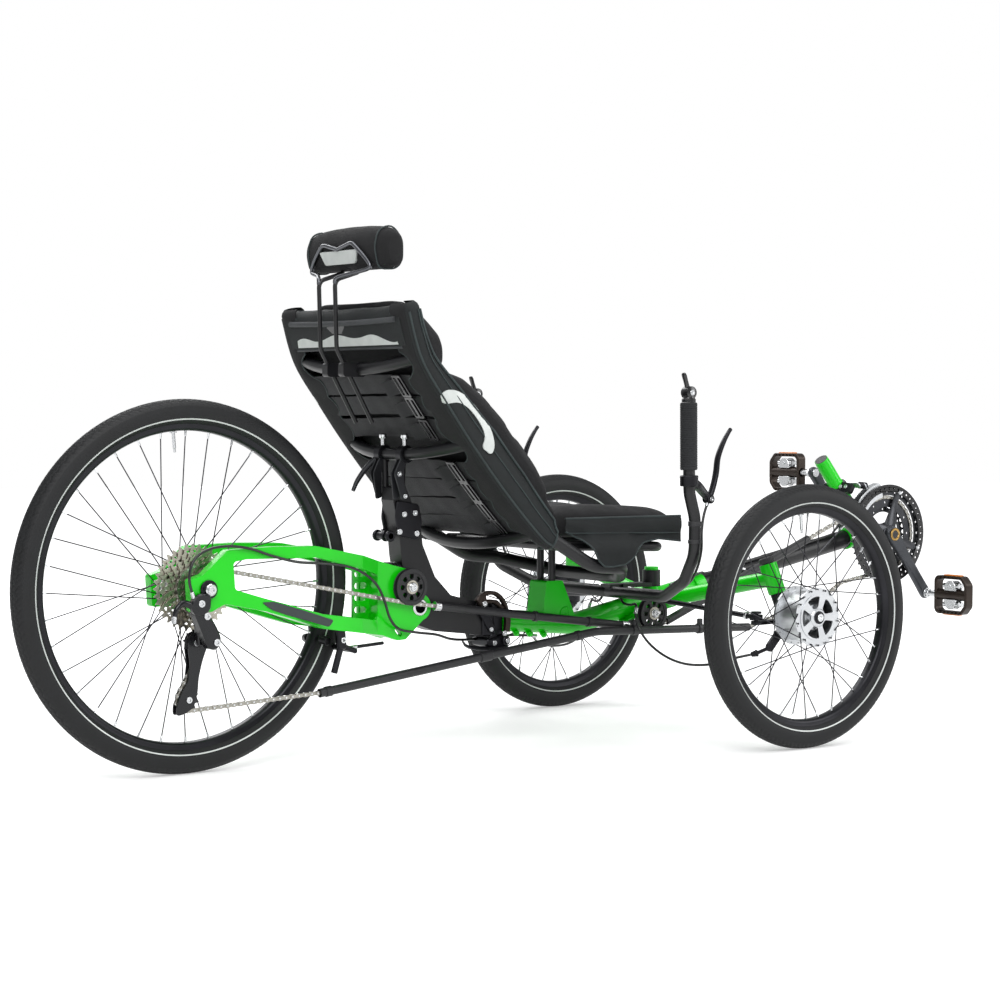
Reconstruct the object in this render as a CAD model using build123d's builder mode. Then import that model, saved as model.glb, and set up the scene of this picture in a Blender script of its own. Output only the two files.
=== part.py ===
from build123d import *
import math
import os

os.makedirs("parts", exist_ok=True)

# A recumbent tadpole trike: two steered wheels in front, one driven wheel behind.
# +Z is up, the rider faces -Y, and the chain runs on the rider's right, at -X.
# Places along the frame are given as distances behind the front axle.

# ---- driving dimensions, mm
wheelbase = 1115.0
track = 772.0
rear_radius = 326.5
front_radius = 250.0
tyre_section = 47.0
rim_width = 25.0
rim_depth = 13.5
bead_height = 41.5
spoke_count = 36
spoke_radius = 1.1
spoke_cross = 60.0
crank_length = 165.0
crank_drop = 51.5
bb_reach = 555.0
bb_height = 376.5
pedal_thickness = 26.0
running_fit = 0.05
body_gap = 0.3

# Main beam, boom and cross-member
beam_radius = 21.0
boom_radius = 18.9
boom_angle = 11.2
boom_root_height = 270.6
beam_bend = (256.0, 220.0)
beam_rear = (441.0, 236.0)
socket_front = -70.0
arm_radius = 15.0
arm_root = (42.0, 255.0)
head_radius = 17.0
head_bottom = 290.0
head_top = 345.0
kingpin_radius = 8.0
kingpin_inset = 60.0
kingpin_lean = 15.0
caster = 12.0

# Steering: a bar that swings on one post, with a rod to each knuckle
pivot_y = 58.0
pivot_post_radius = 10.0
pivot_seat = 286.0
stem_thickness = 8.0
sleeve_height = 32.0
steer_arm = 80.0
rod_pin_x = 12.0
steer_toe = 8.0
rod_pin_radius = 4.0
rod_inner_height = 275.0
rod_outer_height = 248.0
rod_radius = 5.0
rod_eye_radius = 8.5
rod_eye_height = 10.0
rod_outer_play = 3.6
rod_outer_stand = 2.0
rod_lean = (0.02962, -0.07109)
bar_radius = 11.0
bar_centre = (168.0, 279.0)
bar_low = (200.0, 194.0, 283.0)
bar_bend = (286.0, 219.0, 318.0)
bar_side = (335.0, 236.0, 372.0)
bar_jog_low = (335.0, 236.0, 440.0)
bar_jog_high = (335.0, 250.0, 486.0)
bar_top = (335.0, 253.0, 652.0)
grip_radius = 16.0
grip_bottom = 528.0

# Front hubs, with a drum brake inside
axle_radius = 8.0
drum_radius = 47.0
drum_wall = 4.5
flange_radius = 56.0
flange_offset = 28.0
flange_thickness = 4.0
hub_face = 31.0
hub_end = 36.0

# Rear hub, cassette and axle
rear_axle_radius = 6.0
rear_hub_radius = 20.0
rear_flange_radius = 31.0
rear_flange_left = 33.0
rear_flange_right = 20.0
rear_axle_right = 90.0
rear_axle_left = 86.0
cassette_inner = 24.0
cog_pitch = 3.6
cog_thickness = 1.9
cog_teeth = (36, 32, 28, 25, 22, 19, 17, 15, 13, 11)
tooth_pitch = 12.7

# Swingarm
swing_pivot = (645.0, 272.0)
swing_inner_rear = 62.0
swing_outer_rear = 82.0
swing_inner_front = 33.0
swing_outer_front = 53.0
cheek_inner = 22.0
cheek_outer = 36.0

# Seat
seat_half_width = 200.0
seat_tube_radius = 12.5
cushion_half_width = 172.0
cushion_thickness = 48.0
base_half_width = 186.0
rod_gap = 27.0
headrest_rod_radius = 4.0

# Chain line and rings
chain_cog = 5
return_x = -64.0
chain_tube_radius = 8.0
chain_tube_bore = 6.4
chain_half_width = 2.4
chain_half_height = 3.9
ring_teeth = 39
outer_ring_radius = 100.0
inner_ring_radius = 60.0
guard_radius = 106.0
idler_radius = 30.0
idler_flange_radius = 34.0
front_idler = (92.0, 236.0)
rear_idler = (672.0, 311.0)

# ---- derived sizes
crank_angle = math.radians(crank_drop)
pedal_forward = crank_length * math.cos(crank_angle)
front_reach = bb_reach + pedal_forward + pedal_thickness / 2
front_axle_y = (front_reach - wheelbase - rear_radius) / 2
rear_axle_y = front_axle_y + wheelbase
bb_y = front_axle_y - bb_reach
half_track = track / 2
kingpin_x = half_track - kingpin_inset
lean_x = math.tan(math.radians(kingpin_lean))
lean_y = math.tan(math.radians(caster))
boom_slope = math.tan(math.radians(boom_angle))
chain_x = -(cassette_inner + cog_pitch * (chain_cog + 1) - cog_thickness / 2)
ring_radius = ring_teeth * tooth_pitch / (2 * math.pi)


def aft(distance):
    # A place along the frame, from its distance behind the front axle.
    return front_axle_y + distance


def boom_height(distance):
    # The height of the boom's centre line at a distance behind the front axle.
    return boom_root_height - boom_slope * distance


def rod(start, end, radius):
    # A straight round bar between two points.
    run = Vector(*end) - Vector(*start)
    with BuildPart() as bar:
        with BuildSketch(Plane(origin=start, z_dir=run)):
            Circle(radius)
        extrude(amount=run.length)
    return bar.part


def bent_tube(points, bends, radius):
    # A round tube along straight runs joined by arcs.
    with BuildPart() as tube:
        with BuildLine() as path:
            FilletPolyline(*points, radius=bends)
        with BuildSketch(Plane(origin=points[0], z_dir=Vector(*points[1]) - Vector(*points[0]))):
            Circle(radius)
        sweep(path=path.wires()[0])
    return tube.part


def side_plate(outline, corner, low_x, high_x):
    # A plate of an outline in the YZ plane, given as (distance, height), between two X places.
    with BuildPart() as plate:
        with BuildSketch(Plane.YZ.offset(low_x)) as face:
            with BuildLine():
                Polyline([(aft(y), z) for y, z in outline], close=True)
            make_face()
            if corner > 0:
                fillet(face.vertices(), corner)
        extrude(amount=high_x - low_x)
    return plate.part


def kingpin_point(side, height):
    # The kingpin axis at a height: its top leans inwards and back.
    rise = height - front_radius
    return (side * (kingpin_x - lean_x * rise), front_axle_y + lean_y * rise, height)


sides = (("left", 1), ("right", -1))

# ---- main frame: beam, cross-member, kingpin heads, steering post and seat pedestal
beam_line = [
    (0, aft(beam_rear[0]), beam_rear[1]),
    (0, aft(beam_bend[0]), beam_bend[1]),
    (0, aft(socket_front), boom_height(socket_front)),
]
beam_tube = bent_tube(beam_line, 90.0, beam_radius)
boom_line = Plane(
    origin=(0, aft(socket_front), boom_height(socket_front)),
    z_dir=(0, 1, -boom_slope),
)
socket_depth = 130.0
clamp_length = 26.0
pedestal_half_width = 26.0
pedestal_top = 308.0
pedestal = side_plate(
    [(267.0, 226.0), (352.0, 232.0), (343.0, pedestal_top), (304.0, pedestal_top)],
    4.0,
    -pedestal_half_width,
    pedestal_half_width,
)
arm_gusset = side_plate([(22.0, 246.0), (150.0, 222.0), (62.0, 262.0), (22.0, 268.0)], 0, -34.0, 34.0)
head_middle = (head_bottom + head_top) / 2
post_head_radius = 14.0
post_head = 6.0
sleeve_top = pivot_seat + body_gap + sleeve_height
flange_length = 10.0
hinge_front = beam_rear[0] + 4.0
hinge_rear = hinge_front + 44.0
hinge_half_width = 24.0
hinge_low = 211.0
hinge_high = 264.0
hinge_flange = side_plate(
    [(hinge_front - flange_length, hinge_low), (hinge_front, hinge_low),
     (hinge_front, hinge_high), (hinge_front - flange_length, hinge_high)],
    0,
    -hinge_half_width,
    hinge_half_width,
)
with BuildPart() as main_frame:
    add(beam_tube)
    add(hinge_flange)
    add(pedestal)
    add(arm_gusset)
    for name, side in sides:
        add(rod((0, aft(arm_root[0]), arm_root[1]), kingpin_point(side, head_middle), arm_radius))
        add(rod(kingpin_point(side, head_bottom), kingpin_point(side, head_top), head_radius))
    with BuildSketch(Plane.XY.offset(boom_height(pivot_y))):
        with Locations((0, aft(pivot_y))):
            Circle(head_radius + 1)
    extrude(amount=pivot_seat - boom_height(pivot_y))
    with BuildSketch(boom_line):
        Circle(beam_radius + 4)
    extrude(amount=clamp_length)
    with BuildSketch(boom_line):
        Circle(boom_radius + running_fit)
    extrude(amount=socket_depth, mode=Mode.SUBTRACT)
    with BuildSketch(Plane.XY.offset(pivot_seat)):
        with Locations((0, aft(pivot_y))):
            Circle(pivot_post_radius)
    extrude(amount=sleeve_top + body_gap - pivot_seat)
    with BuildSketch(Plane.XY.offset(sleeve_top + body_gap)):
        with Locations((0, aft(pivot_y))):
            Circle(post_head_radius)
    extrude(amount=post_head)
    for name, side in sides:
        below = kingpin_point(side, head_bottom - 5)
        above = kingpin_point(side, head_top + 5)
        add(rod(below, above, kingpin_radius + running_fit), mode=Mode.SUBTRACT)
main_frame.part.label = "main_frame"
export_step(main_frame.part, "parts/main_frame.step")

# ---- boom, bottom bracket and accessory post
boom_end = bb_reach - 52.0
boom_tip = (0, aft(-boom_end), boom_height(-boom_end))
boom_root = (0, aft(socket_front + socket_depth - 10), boom_height(socket_front + socket_depth - 10))
boom_wall = 2.4
with BuildPart() as boom:
    add(rod(boom_root, boom_tip, boom_radius))
    add(rod(boom_root, boom_tip, boom_radius - boom_wall), mode=Mode.SUBTRACT)
boom.part.label = "boom"
export_step(boom.part, "parts/boom.step")

bb_shell_radius = 20.0
bb_shell_width = 68.0
bb_centre = (0, bb_y, bb_height)
spindle_radius = 12.0
post_foot = (0, aft(-bb_reach + 28), bb_height + 16)
post_tip = (0, aft(-bb_reach + 142), bb_height + 153.5)
post_radius = 15.5
post_seat_radius = 16.5
post_seat_share = 0.68
post_cap_radius = 15.0
post_cap_height = 7.0
post_line = Vector(*post_tip) - Vector(*post_foot)
post_seat_end = Vector(*post_foot) + post_line * post_seat_share
collar_length = 24.0
boom_plane = Plane(origin=boom_tip, z_dir=(0, 1, -boom_slope))
with BuildPart() as crank_housing:
    with BuildSketch(boom_plane):
        Circle(boom_radius + 4)
    extrude(amount=collar_length)
    with BuildSketch(boom_plane):
        Circle(boom_radius)
    extrude(amount=collar_length, mode=Mode.SUBTRACT)
    add(rod(boom_tip, bb_centre, boom_radius + 2))
    add(rod(boom_root, boom_tip, boom_radius), mode=Mode.SUBTRACT)
    add(rod(post_foot, post_seat_end, post_seat_radius))
    add(rod(post_foot, post_tip, post_radius))
    add(rod(post_tip, Vector(*post_tip) + post_line.normalized() * post_cap_height, post_cap_radius))
    with BuildSketch(Plane.YZ.offset(-bb_shell_width / 2)):
        with Locations((bb_y, bb_height)):
            Circle(bb_shell_radius)
    extrude(amount=bb_shell_width)
    with BuildSketch(Plane.YZ.offset(-bb_shell_width / 2)):
        with Locations((bb_y, bb_height)):
            Circle(spindle_radius + running_fit)
    extrude(amount=bb_shell_width, mode=Mode.SUBTRACT)
crank_housing.part.label = "crank_housing"
export_step(crank_housing.part, "parts/crank_housing.step")

# The front mech: a clamp round the accessory post and a cage over the rings.
mech_place = 0.52
mech_clamp = Vector(*post_foot) + post_line * mech_place
mech_length = 22.0
mech_plane = Plane(origin=mech_clamp, z_dir=post_line)
cage_outer_x = chain_x - 9.0
with BuildPart() as front_mech:
    with BuildSketch(mech_plane):
        Circle(post_seat_radius + 5)
        Circle(post_seat_radius, mode=Mode.SUBTRACT)
    extrude(amount=mech_length)
    with BuildSketch(Plane.YZ.offset(cage_outer_x)):
        with Locations((mech_clamp.Y - 6, mech_clamp.Z + 12)):
            RectangleRounded(34, 30, 6, rotation=40)
    extrude(amount=-cage_outer_x - post_radius + 3)
    add(rod(post_foot, post_seat_end, post_seat_radius), mode=Mode.SUBTRACT)
front_mech.part.label = "front_mech"
export_step(front_mech.part, "parts/front_mech.step")

# ---- folding joint of the frame and the curved rear carrier
handle_radius = 4.5
lever_x = -hinge_half_width - 6
with BuildPart() as fold_hinge:
    add(side_plate([(hinge_front, hinge_low), (hinge_rear, hinge_low - 2),
                    (hinge_rear, hinge_high + 8), (hinge_front, hinge_high)],
                   0, -hinge_half_width, hinge_half_width))
    add(bent_tube([(lever_x, aft(450.0), 262.0), (lever_x, aft(500.0), 268.0),
                   (lever_x, aft(524.0), 236.0), (lever_x, aft(508.0), 205.0)],
                  [16.0, 14.0], handle_radius))
    add(rod((-hinge_half_width + 2, aft(456.0), 258.0), (lever_x, aft(456.0), 258.0), 7.0))
fold_hinge.part.label = "fold_hinge"
export_step(fold_hinge.part, "parts/fold_hinge.step")

carrier_half_width = 20.0
carrier_outline = [
    (hinge_rear, 211.0), (600.0, 224.0), (640.0, 238.0), (664.0, 300.0), (676.0, 368.0),
    (680.0, 409.0), (694.0, 470.0), (690.0, 493.0), (668.0, 497.0), (633.0, 425.0),
    (628.0, 386.0), (600.0, 326.0), (564.0, 290.0), (hinge_rear, 271.0),
]
pivot_bore = 14.0
block_front = 706.0
elastomer_radius = 15.0
elastomer_height = 338.0
with BuildPart() as rear_carrier:
    add(side_plate(carrier_outline, 3.0, -carrier_half_width, carrier_half_width))
    with BuildSketch(Plane.YZ.offset(-carrier_half_width)):
        with Locations((aft(swing_pivot[0]), swing_pivot[1])):
            Circle(28.0)
    extrude(amount=2 * carrier_half_width)
    with BuildSketch(Plane.YZ.offset(-carrier_half_width)):
        with Locations((aft(swing_pivot[0]), swing_pivot[1])):
            Circle(pivot_bore + running_fit)
    extrude(amount=2 * carrier_half_width, mode=Mode.SUBTRACT)
    add(rod((0, aft(swing_pivot[0] + 15), elastomer_height),
            (0, aft(block_front) - body_gap, elastomer_height), elastomer_radius))
rear_carrier.part.label = "rear_carrier"
export_step(rear_carrier.part, "parts/rear_carrier.step")

# ---- swingarm: two cheeks round the carrier, a closed block behind it, and a fork of open stays
swing_outline = [
    (676, 214), (694, 213), (726, 224), (875, 246), (1001, 284), (1082, 300), (1108, 288), (1146, 288),
    (1150, 344), (1124, 352), (1076, 393), (984, 396), (892, 394), (777, 372), (block_front, 352),
    (674, 344), (640, 292), (624, 260),
]
swing_window = [
    (738, 252), (875, 272), (1001, 306), (1062, 324), (1066, 372), (1040, 376), (892, 374), (777, 347),
    (738, 336),
]
block_rear = 736.0
fork_half = [
    (612, cheek_outer), (738, cheek_outer), (782, swing_outer_front), (940, swing_outer_rear),
    (1160, swing_outer_rear), (1160, swing_inner_rear), (1010, swing_inner_rear), (860, swing_inner_front + 8),
    (772, swing_inner_front), (block_rear, cheek_inner + 6),
]
fork_plan = [(x, aft(y)) for y, x in fork_half] + [(-x, aft(y)) for y, x in reversed(fork_half)]
lobe_radius = 25.0
web_half = 3.0
web_rear = 770.0
web_slot = (26.0, 12.0)
swing_low = 180.0
swing_depth = 260.0
idler_out = chain_x - 6.5
idler_in = chain_x + 6.5
idler_bolt_radius = 5.0
with BuildPart() as swingarm:
    add(side_plate(swing_outline, 6.0, -swing_outer_rear, swing_outer_rear))
    with BuildSketch(Plane.YZ.offset(-cheek_outer)):
        with Locations((aft(swing_pivot[0]), swing_pivot[1])):
            Circle(lobe_radius)
    extrude(amount=2 * cheek_outer)
    add(side_plate(swing_window, 7.0, -swing_outer_rear, swing_outer_rear), mode=Mode.SUBTRACT)
    with BuildSketch(Plane.XY.offset(swing_low)):
        with BuildLine():
            Polyline(fork_plan, close=True)
        make_face()
    extrude(amount=swing_depth, mode=Mode.INTERSECT)
    with BuildSketch(Plane.XY.offset(swing_low)):
        with Locations((0, aft(block_front - 60))):
            Rectangle(2 * cheek_inner, 120)
    extrude(amount=swing_depth, mode=Mode.SUBTRACT)
    add(side_plate([(block_rear - 2, 240), (web_rear, 246), (web_rear, 358), (block_rear - 2, 350)],
                   0, -web_half, web_half))
    with BuildSketch(Plane.YZ.offset(-web_half)):
        for height in (270.0, 292.0, 314.0, 336.0):
            with Locations((aft((block_rear + web_rear) / 2 + 1), height)):
                SlotOverall(web_slot[0], web_slot[1])
    extrude(amount=2 * web_half, mode=Mode.SUBTRACT)
    with BuildSketch(Plane.YZ.offset(-cheek_outer)):
        with Locations((aft(692.0), 228.0)):
            SlotOverall(20.0, 8.0, rotation=50)
        with Locations((aft(swing_pivot[0]), swing_pivot[1])):
            Circle(pivot_bore + running_fit)
    extrude(amount=2 * cheek_outer, mode=Mode.SUBTRACT)
    add(rod((-cheek_outer, aft(rear_idler[0]), rear_idler[1]),
            (idler_in + body_gap, aft(rear_idler[0]), rear_idler[1]), idler_bolt_radius + 8))
    add(rod((-cheek_outer, aft(rear_idler[0]), rear_idler[1]),
            (idler_out - 4, aft(rear_idler[0]), rear_idler[1]), idler_bolt_radius))
    add(rod((idler_out - 4, aft(rear_idler[0]), rear_idler[1]),
            (idler_out - body_gap, aft(rear_idler[0]), rear_idler[1]), idler_bolt_radius + 3))
    with BuildSketch(Plane.YZ.offset(-swing_outer_rear)):
        with Locations((rear_axle_y, rear_radius)):
            Circle(rear_axle_radius + running_fit)
    extrude(amount=2 * swing_outer_rear, mode=Mode.SUBTRACT)
swingarm.part.label = "swingarm"
export_step(swingarm.part, "parts/swingarm.step")

# ---- wheels: tyre, rim, spokes and hub of each
def wheel_plane(x, y, radius):
    # The XZ plane through a wheel's centre, with sketch X across and sketch Y outwards.
    return Plane(origin=(x, y, radius), x_dir=(1, 0, 0), z_dir=(0, -1, 0))


def spoke_set(x, y, radius, flanges, end_radius):
    # Crossed spokes from two flanges to the rim, as straight bars.
    bars = []
    for number in range(spoke_count):
        offset, hole_radius = flanges[number % 2]
        head_x = offset + math.copysign(spoke_radius + spoke_stand, offset)
        turn = math.radians(spoke_cross) * (1 if number % 4 < 2 else -1)
        rim_angle = 2 * math.pi * number / spoke_count
        hub_angle = rim_angle + turn
        start = Vector(x + head_x, y + hole_radius * math.sin(hub_angle),
                       radius + hole_radius * math.cos(hub_angle))
        end = Vector(x, y + end_radius * math.sin(rim_angle), radius + end_radius * math.cos(rim_angle))
        run = end - start
        bars.append(Solid.make_cylinder(spoke_radius, run.length, Plane(origin=start, z_dir=run)))
    return bars


hub_hole_inset = 3.5
spoke_ring_width = 3.0
spoke_stand = 2.0
band_depth = 1.6
wheels = (
    ("rear", 0.0, rear_axle_y, rear_radius,
     ((-rear_flange_right - 0.2, rear_flange_radius - hub_hole_inset),
      (rear_flange_left + 0.2, rear_flange_radius - hub_hole_inset))),
    ("left", half_track, front_axle_y, front_radius,
     ((-flange_offset - flange_thickness / 2 - 0.2, flange_radius - hub_hole_inset),
      (flange_offset + flange_thickness / 2 + 0.2, flange_radius - hub_hole_inset))),
    ("right", -half_track, front_axle_y, front_radius,
     ((-flange_offset - flange_thickness / 2 - 0.2, flange_radius - hub_hole_inset),
      (flange_offset + flange_thickness / 2 + 0.2, flange_radius - hub_hole_inset))),
)
for name, x, y, radius, flanges in wheels:
    rim_outer = radius - bead_height
    rim_inner = rim_outer - rim_depth
    axle_line = Axis((x, y, radius), (1, 0, 0))
    section_plane = wheel_plane(x, y, radius)

    with BuildPart() as tyre:
        with BuildSketch(section_plane):
            with Locations((0, radius - tyre_section / 2)):
                Circle(tyre_section / 2)
            with Locations((0, rim_outer - tyre_section / 2 + body_gap)):
                Rectangle(rim_width + 2 * body_gap, tyre_section, mode=Mode.SUBTRACT)
        revolve(axis=axle_line)
    tyre.part.label = f"{name}_tyre"
    export_step(tyre.part, f"parts/{name}_tyre.step")

    with BuildPart() as rim:
        with BuildSketch(section_plane):
            with BuildLine():
                Polyline(
                    (-rim_width / 2, rim_outer),
                    (rim_width / 2, rim_outer),
                    (rim_width / 2, rim_inner + 5),
                    (rim_width / 2 - 4, rim_inner),
                    (-rim_width / 2 + 4, rim_inner),
                    (-rim_width / 2, rim_inner + 5),
                    close=True,
                )
            make_face()
        revolve(axis=axle_line)
    rim.part.label = f"{name}_rim"
    export_step(rim.part, f"parts/{name}_rim.step")

    bars = spoke_set(x, y, radius, flanges, rim_inner - band_depth / 2 - 0.2)
    with BuildPart() as spokes:
        with BuildSketch(section_plane):
            with Locations((0, rim_inner - band_depth / 2 - 0.1)):
                Rectangle(rim_width - 10, band_depth)
            for offset, hole_radius in flanges:
                ring_depth = 2 * spoke_radius + spoke_stand
                with Locations((offset + math.copysign(ring_depth / 2, offset), hole_radius)):
                    Rectangle(ring_depth, spoke_ring_width)
        revolve(axis=axle_line)
        add(bars)
    spokes.part.label = f"{name}_spokes"
    export_step(spokes.part, f"parts/{name}_spokes.step")

# The front hubs: a drum with two drilled flanges, open on the inner side for the brake plate.
drum_mouth = -flange_offset - flange_thickness / 2
drum_bore = drum_radius - drum_wall
drum_depth = 40.0
flange_hole = 1.6
for name, side in sides:
    x = side * half_track
    section = [
        (drum_mouth, drum_bore), (drum_mouth, flange_radius),
        (drum_mouth + flange_thickness, flange_radius), (drum_mouth + flange_thickness, drum_radius),
        (-drum_mouth - flange_thickness, drum_radius), (-drum_mouth - flange_thickness, flange_radius),
        (-drum_mouth, flange_radius), (-drum_mouth, 40.0), (hub_face, 22.0),
        (hub_face, axle_radius + running_fit), (drum_mouth + drum_depth, axle_radius + running_fit),
        (drum_mouth + drum_depth, drum_bore),
    ]
    with BuildPart() as hub:
        with BuildSketch(wheel_plane(x, front_axle_y, front_radius)):
            with BuildLine():
                Polyline([(side * u, r) for u, r in section], close=True)
            make_face()
        revolve(axis=Axis((x, front_axle_y, front_radius), (1, 0, 0)))
        with BuildSketch(Plane.YZ.offset(x - flange_offset - flange_thickness)):
            with Locations((front_axle_y, front_radius)):
                with PolarLocations(flange_radius - hub_hole_inset, spoke_count // 2):
                    Circle(flange_hole)
        extrude(amount=2 * (flange_offset + flange_thickness), mode=Mode.SUBTRACT)
    hub.part.label = f"{name}_hub"
    export_step(hub.part, f"parts/{name}_hub.step")

# The rear hub and its cassette.
rear_bore = rear_axle_radius + running_fit
cassette_end = cassette_inner + cog_pitch * len(cog_teeth)
freehub_radius = 16.5
rear_section = [
    (rear_flange_left + 6, rear_bore), (rear_flange_left + 6, 14.0), (rear_flange_left, 16.0),
    (rear_flange_left, rear_flange_radius), (rear_flange_left - 3.5, rear_flange_radius),
    (rear_flange_left - 8, rear_hub_radius), (-rear_flange_right + 8, rear_hub_radius),
    (-rear_flange_right + 3.5, rear_flange_radius), (-rear_flange_right, rear_flange_radius),
    (-rear_flange_right, freehub_radius), (-cassette_end - 2, freehub_radius), (-cassette_end - 2, rear_bore),
]
with BuildPart() as rear_hub:
    with BuildSketch(wheel_plane(0, rear_axle_y, rear_radius)):
        with BuildLine():
            Polyline(rear_section, close=True)
        make_face()
    revolve(axis=Axis((0, rear_axle_y, rear_radius), (1, 0, 0)))
rear_hub.part.label = "rear_hub"
export_step(rear_hub.part, "parts/rear_hub.step")


chain_clear = 0.6
with BuildPart() as cassette:
    for number, teeth in enumerate(cog_teeth):
        pitch_radius = teeth * tooth_pitch / (2 * math.pi)
        root_radius = pitch_radius - chain_half_height - chain_clear
        with BuildSketch(Plane.YZ.offset(-cassette_inner - cog_pitch * (number + 1))):
            with Locations((rear_axle_y, rear_radius)):
                Circle(root_radius if number == chain_cog else pitch_radius)
        extrude(amount=cog_thickness)
        with BuildSketch(Plane.YZ.offset(-cassette_inner - cog_pitch * (number + 1))):
            with Locations((rear_axle_y, rear_radius)):
                Circle(freehub_radius + 3)
        extrude(amount=cog_pitch)
    with BuildSketch(Plane.YZ.offset(-cassette_end)):
        with Locations((rear_axle_y, rear_radius)):
            Circle(freehub_radius)
    extrude(amount=cassette_end - cassette_inner, mode=Mode.SUBTRACT)
cassette.part.label = "cassette"
export_step(cassette.part, "parts/cassette.step")

# The rear axle is held in the swingarm, with a nut at each side.
axle_nut_radius = 10.0
with BuildPart() as rear_axle:
    add(rod((-rear_axle_right, rear_axle_y, rear_radius), (rear_axle_left, rear_axle_y, rear_radius),
            rear_axle_radius))
    for end, face in ((-rear_axle_right, -swing_outer_rear), (rear_axle_left, swing_outer_rear)):
        add(rod((end, rear_axle_y, rear_radius), (face, rear_axle_y, rear_radius), axle_nut_radius))
rear_axle.part.label = "rear_axle"
export_step(rear_axle.part, "parts/rear_axle.step")

# ---- knuckles: kingpin, upright, stub axle, brake plate and steering arm
upright_radius = 14.0
upright_low = 232.0
stub_radius = 10.0
plate_gap = 0.5
plate_thickness = 4.0
steer_plate_top = rod_outer_height - rod_eye_height / 2 - rod_outer_stand
steer_plate = 7.0
steer_plate_turn = math.degrees(math.atan2(steer_toe, steer_arm))
pin_top = rod_outer_height + rod_eye_height / 2 + rod_outer_stand
outer_head_radius = 10.0
outer_head = 4.0
bolt_head = 9.0
brake_arm_length = 96.0
brake_arm_stand = 8.5
brake_stub = ((345.0, 56.0, 190.0), (338.0, 84.0, 180.0))
nut_radius = 12.0
for name, side in sides:
    hub_x = side * half_track
    stub_start = (side * kingpin_x, front_axle_y, front_radius)
    shoulder = (hub_x + side * (drum_mouth - brake_arm_stand - 6), front_axle_y, front_radius)
    plate_inner = hub_x + side * (drum_mouth + 1)
    stub_end = (hub_x + side * (hub_end - 1), front_axle_y, front_radius)
    with BuildPart() as knuckle:
        add(rod(kingpin_point(side, upright_low), kingpin_point(side, head_bottom - body_gap), upright_radius))
        add(rod(kingpin_point(side, head_bottom - 10), kingpin_point(side, head_top + 6), kingpin_radius))
        add(rod(kingpin_point(side, head_top + body_gap), kingpin_point(side, head_top + bolt_head), 12.0))
        add(rod(stub_start, shoulder, stub_radius))
        add(rod(stub_start, stub_end, axle_radius))
        add(rod((plate_inner, front_axle_y, front_radius),
                (plate_inner + side * plate_thickness, front_axle_y, front_radius), drum_bore - plate_gap))
        add(rod(shoulder, (plate_inner, front_axle_y, front_radius), 18.0))
        add(rod((hub_x + side * (hub_face + body_gap), front_axle_y, front_radius),
                (hub_x + side * hub_end, front_axle_y, front_radius), nut_radius))
        with BuildSketch(Plane.XY.offset(steer_plate_top - steer_plate)):
            with Locations((side * (kingpin_x + steer_toe / 2), front_axle_y + steer_arm / 2)):
                SlotOverall(steer_arm + 20, 20, rotation=90 - side * steer_plate_turn)
        extrude(amount=steer_plate)
        add(rod((side * (kingpin_x + steer_toe), aft(steer_arm), steer_plate_top - 2),
                (side * (kingpin_x + steer_toe), aft(steer_arm), pin_top + 1), rod_pin_radius))
        add(rod((side * (kingpin_x + steer_toe), aft(steer_arm), pin_top),
                (side * (kingpin_x + steer_toe), aft(steer_arm), pin_top + outer_head), outer_head_radius))
        with BuildSketch(Plane.YZ.offset(hub_x + side * (drum_mouth - brake_arm_stand))):
            with Locations((front_axle_y + 28, front_radius - 30)):
                SlotOverall(brake_arm_length, 18, rotation=-47)
        extrude(amount=-side * 5)
        add(rod((side * brake_stub[0][0], aft(brake_stub[0][1]), brake_stub[0][2]),
                (side * brake_stub[1][0], aft(brake_stub[1][1]), brake_stub[1][2]), 3.5))
    knuckle.part.label = f"{name}_knuckle"
    export_step(knuckle.part, f"parts/{name}_knuckle.step")

def rod_pin_point(side, rise):
    # A point on the leaning pin that a tie rod turns on, at a rise above the rod's height.
    place = aft(pivot_y + steer_arm + rod_lean[1] * rise)
    return (side * (rod_pin_x + rod_lean[0] * rise), place, rod_inner_height + rise)


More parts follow.
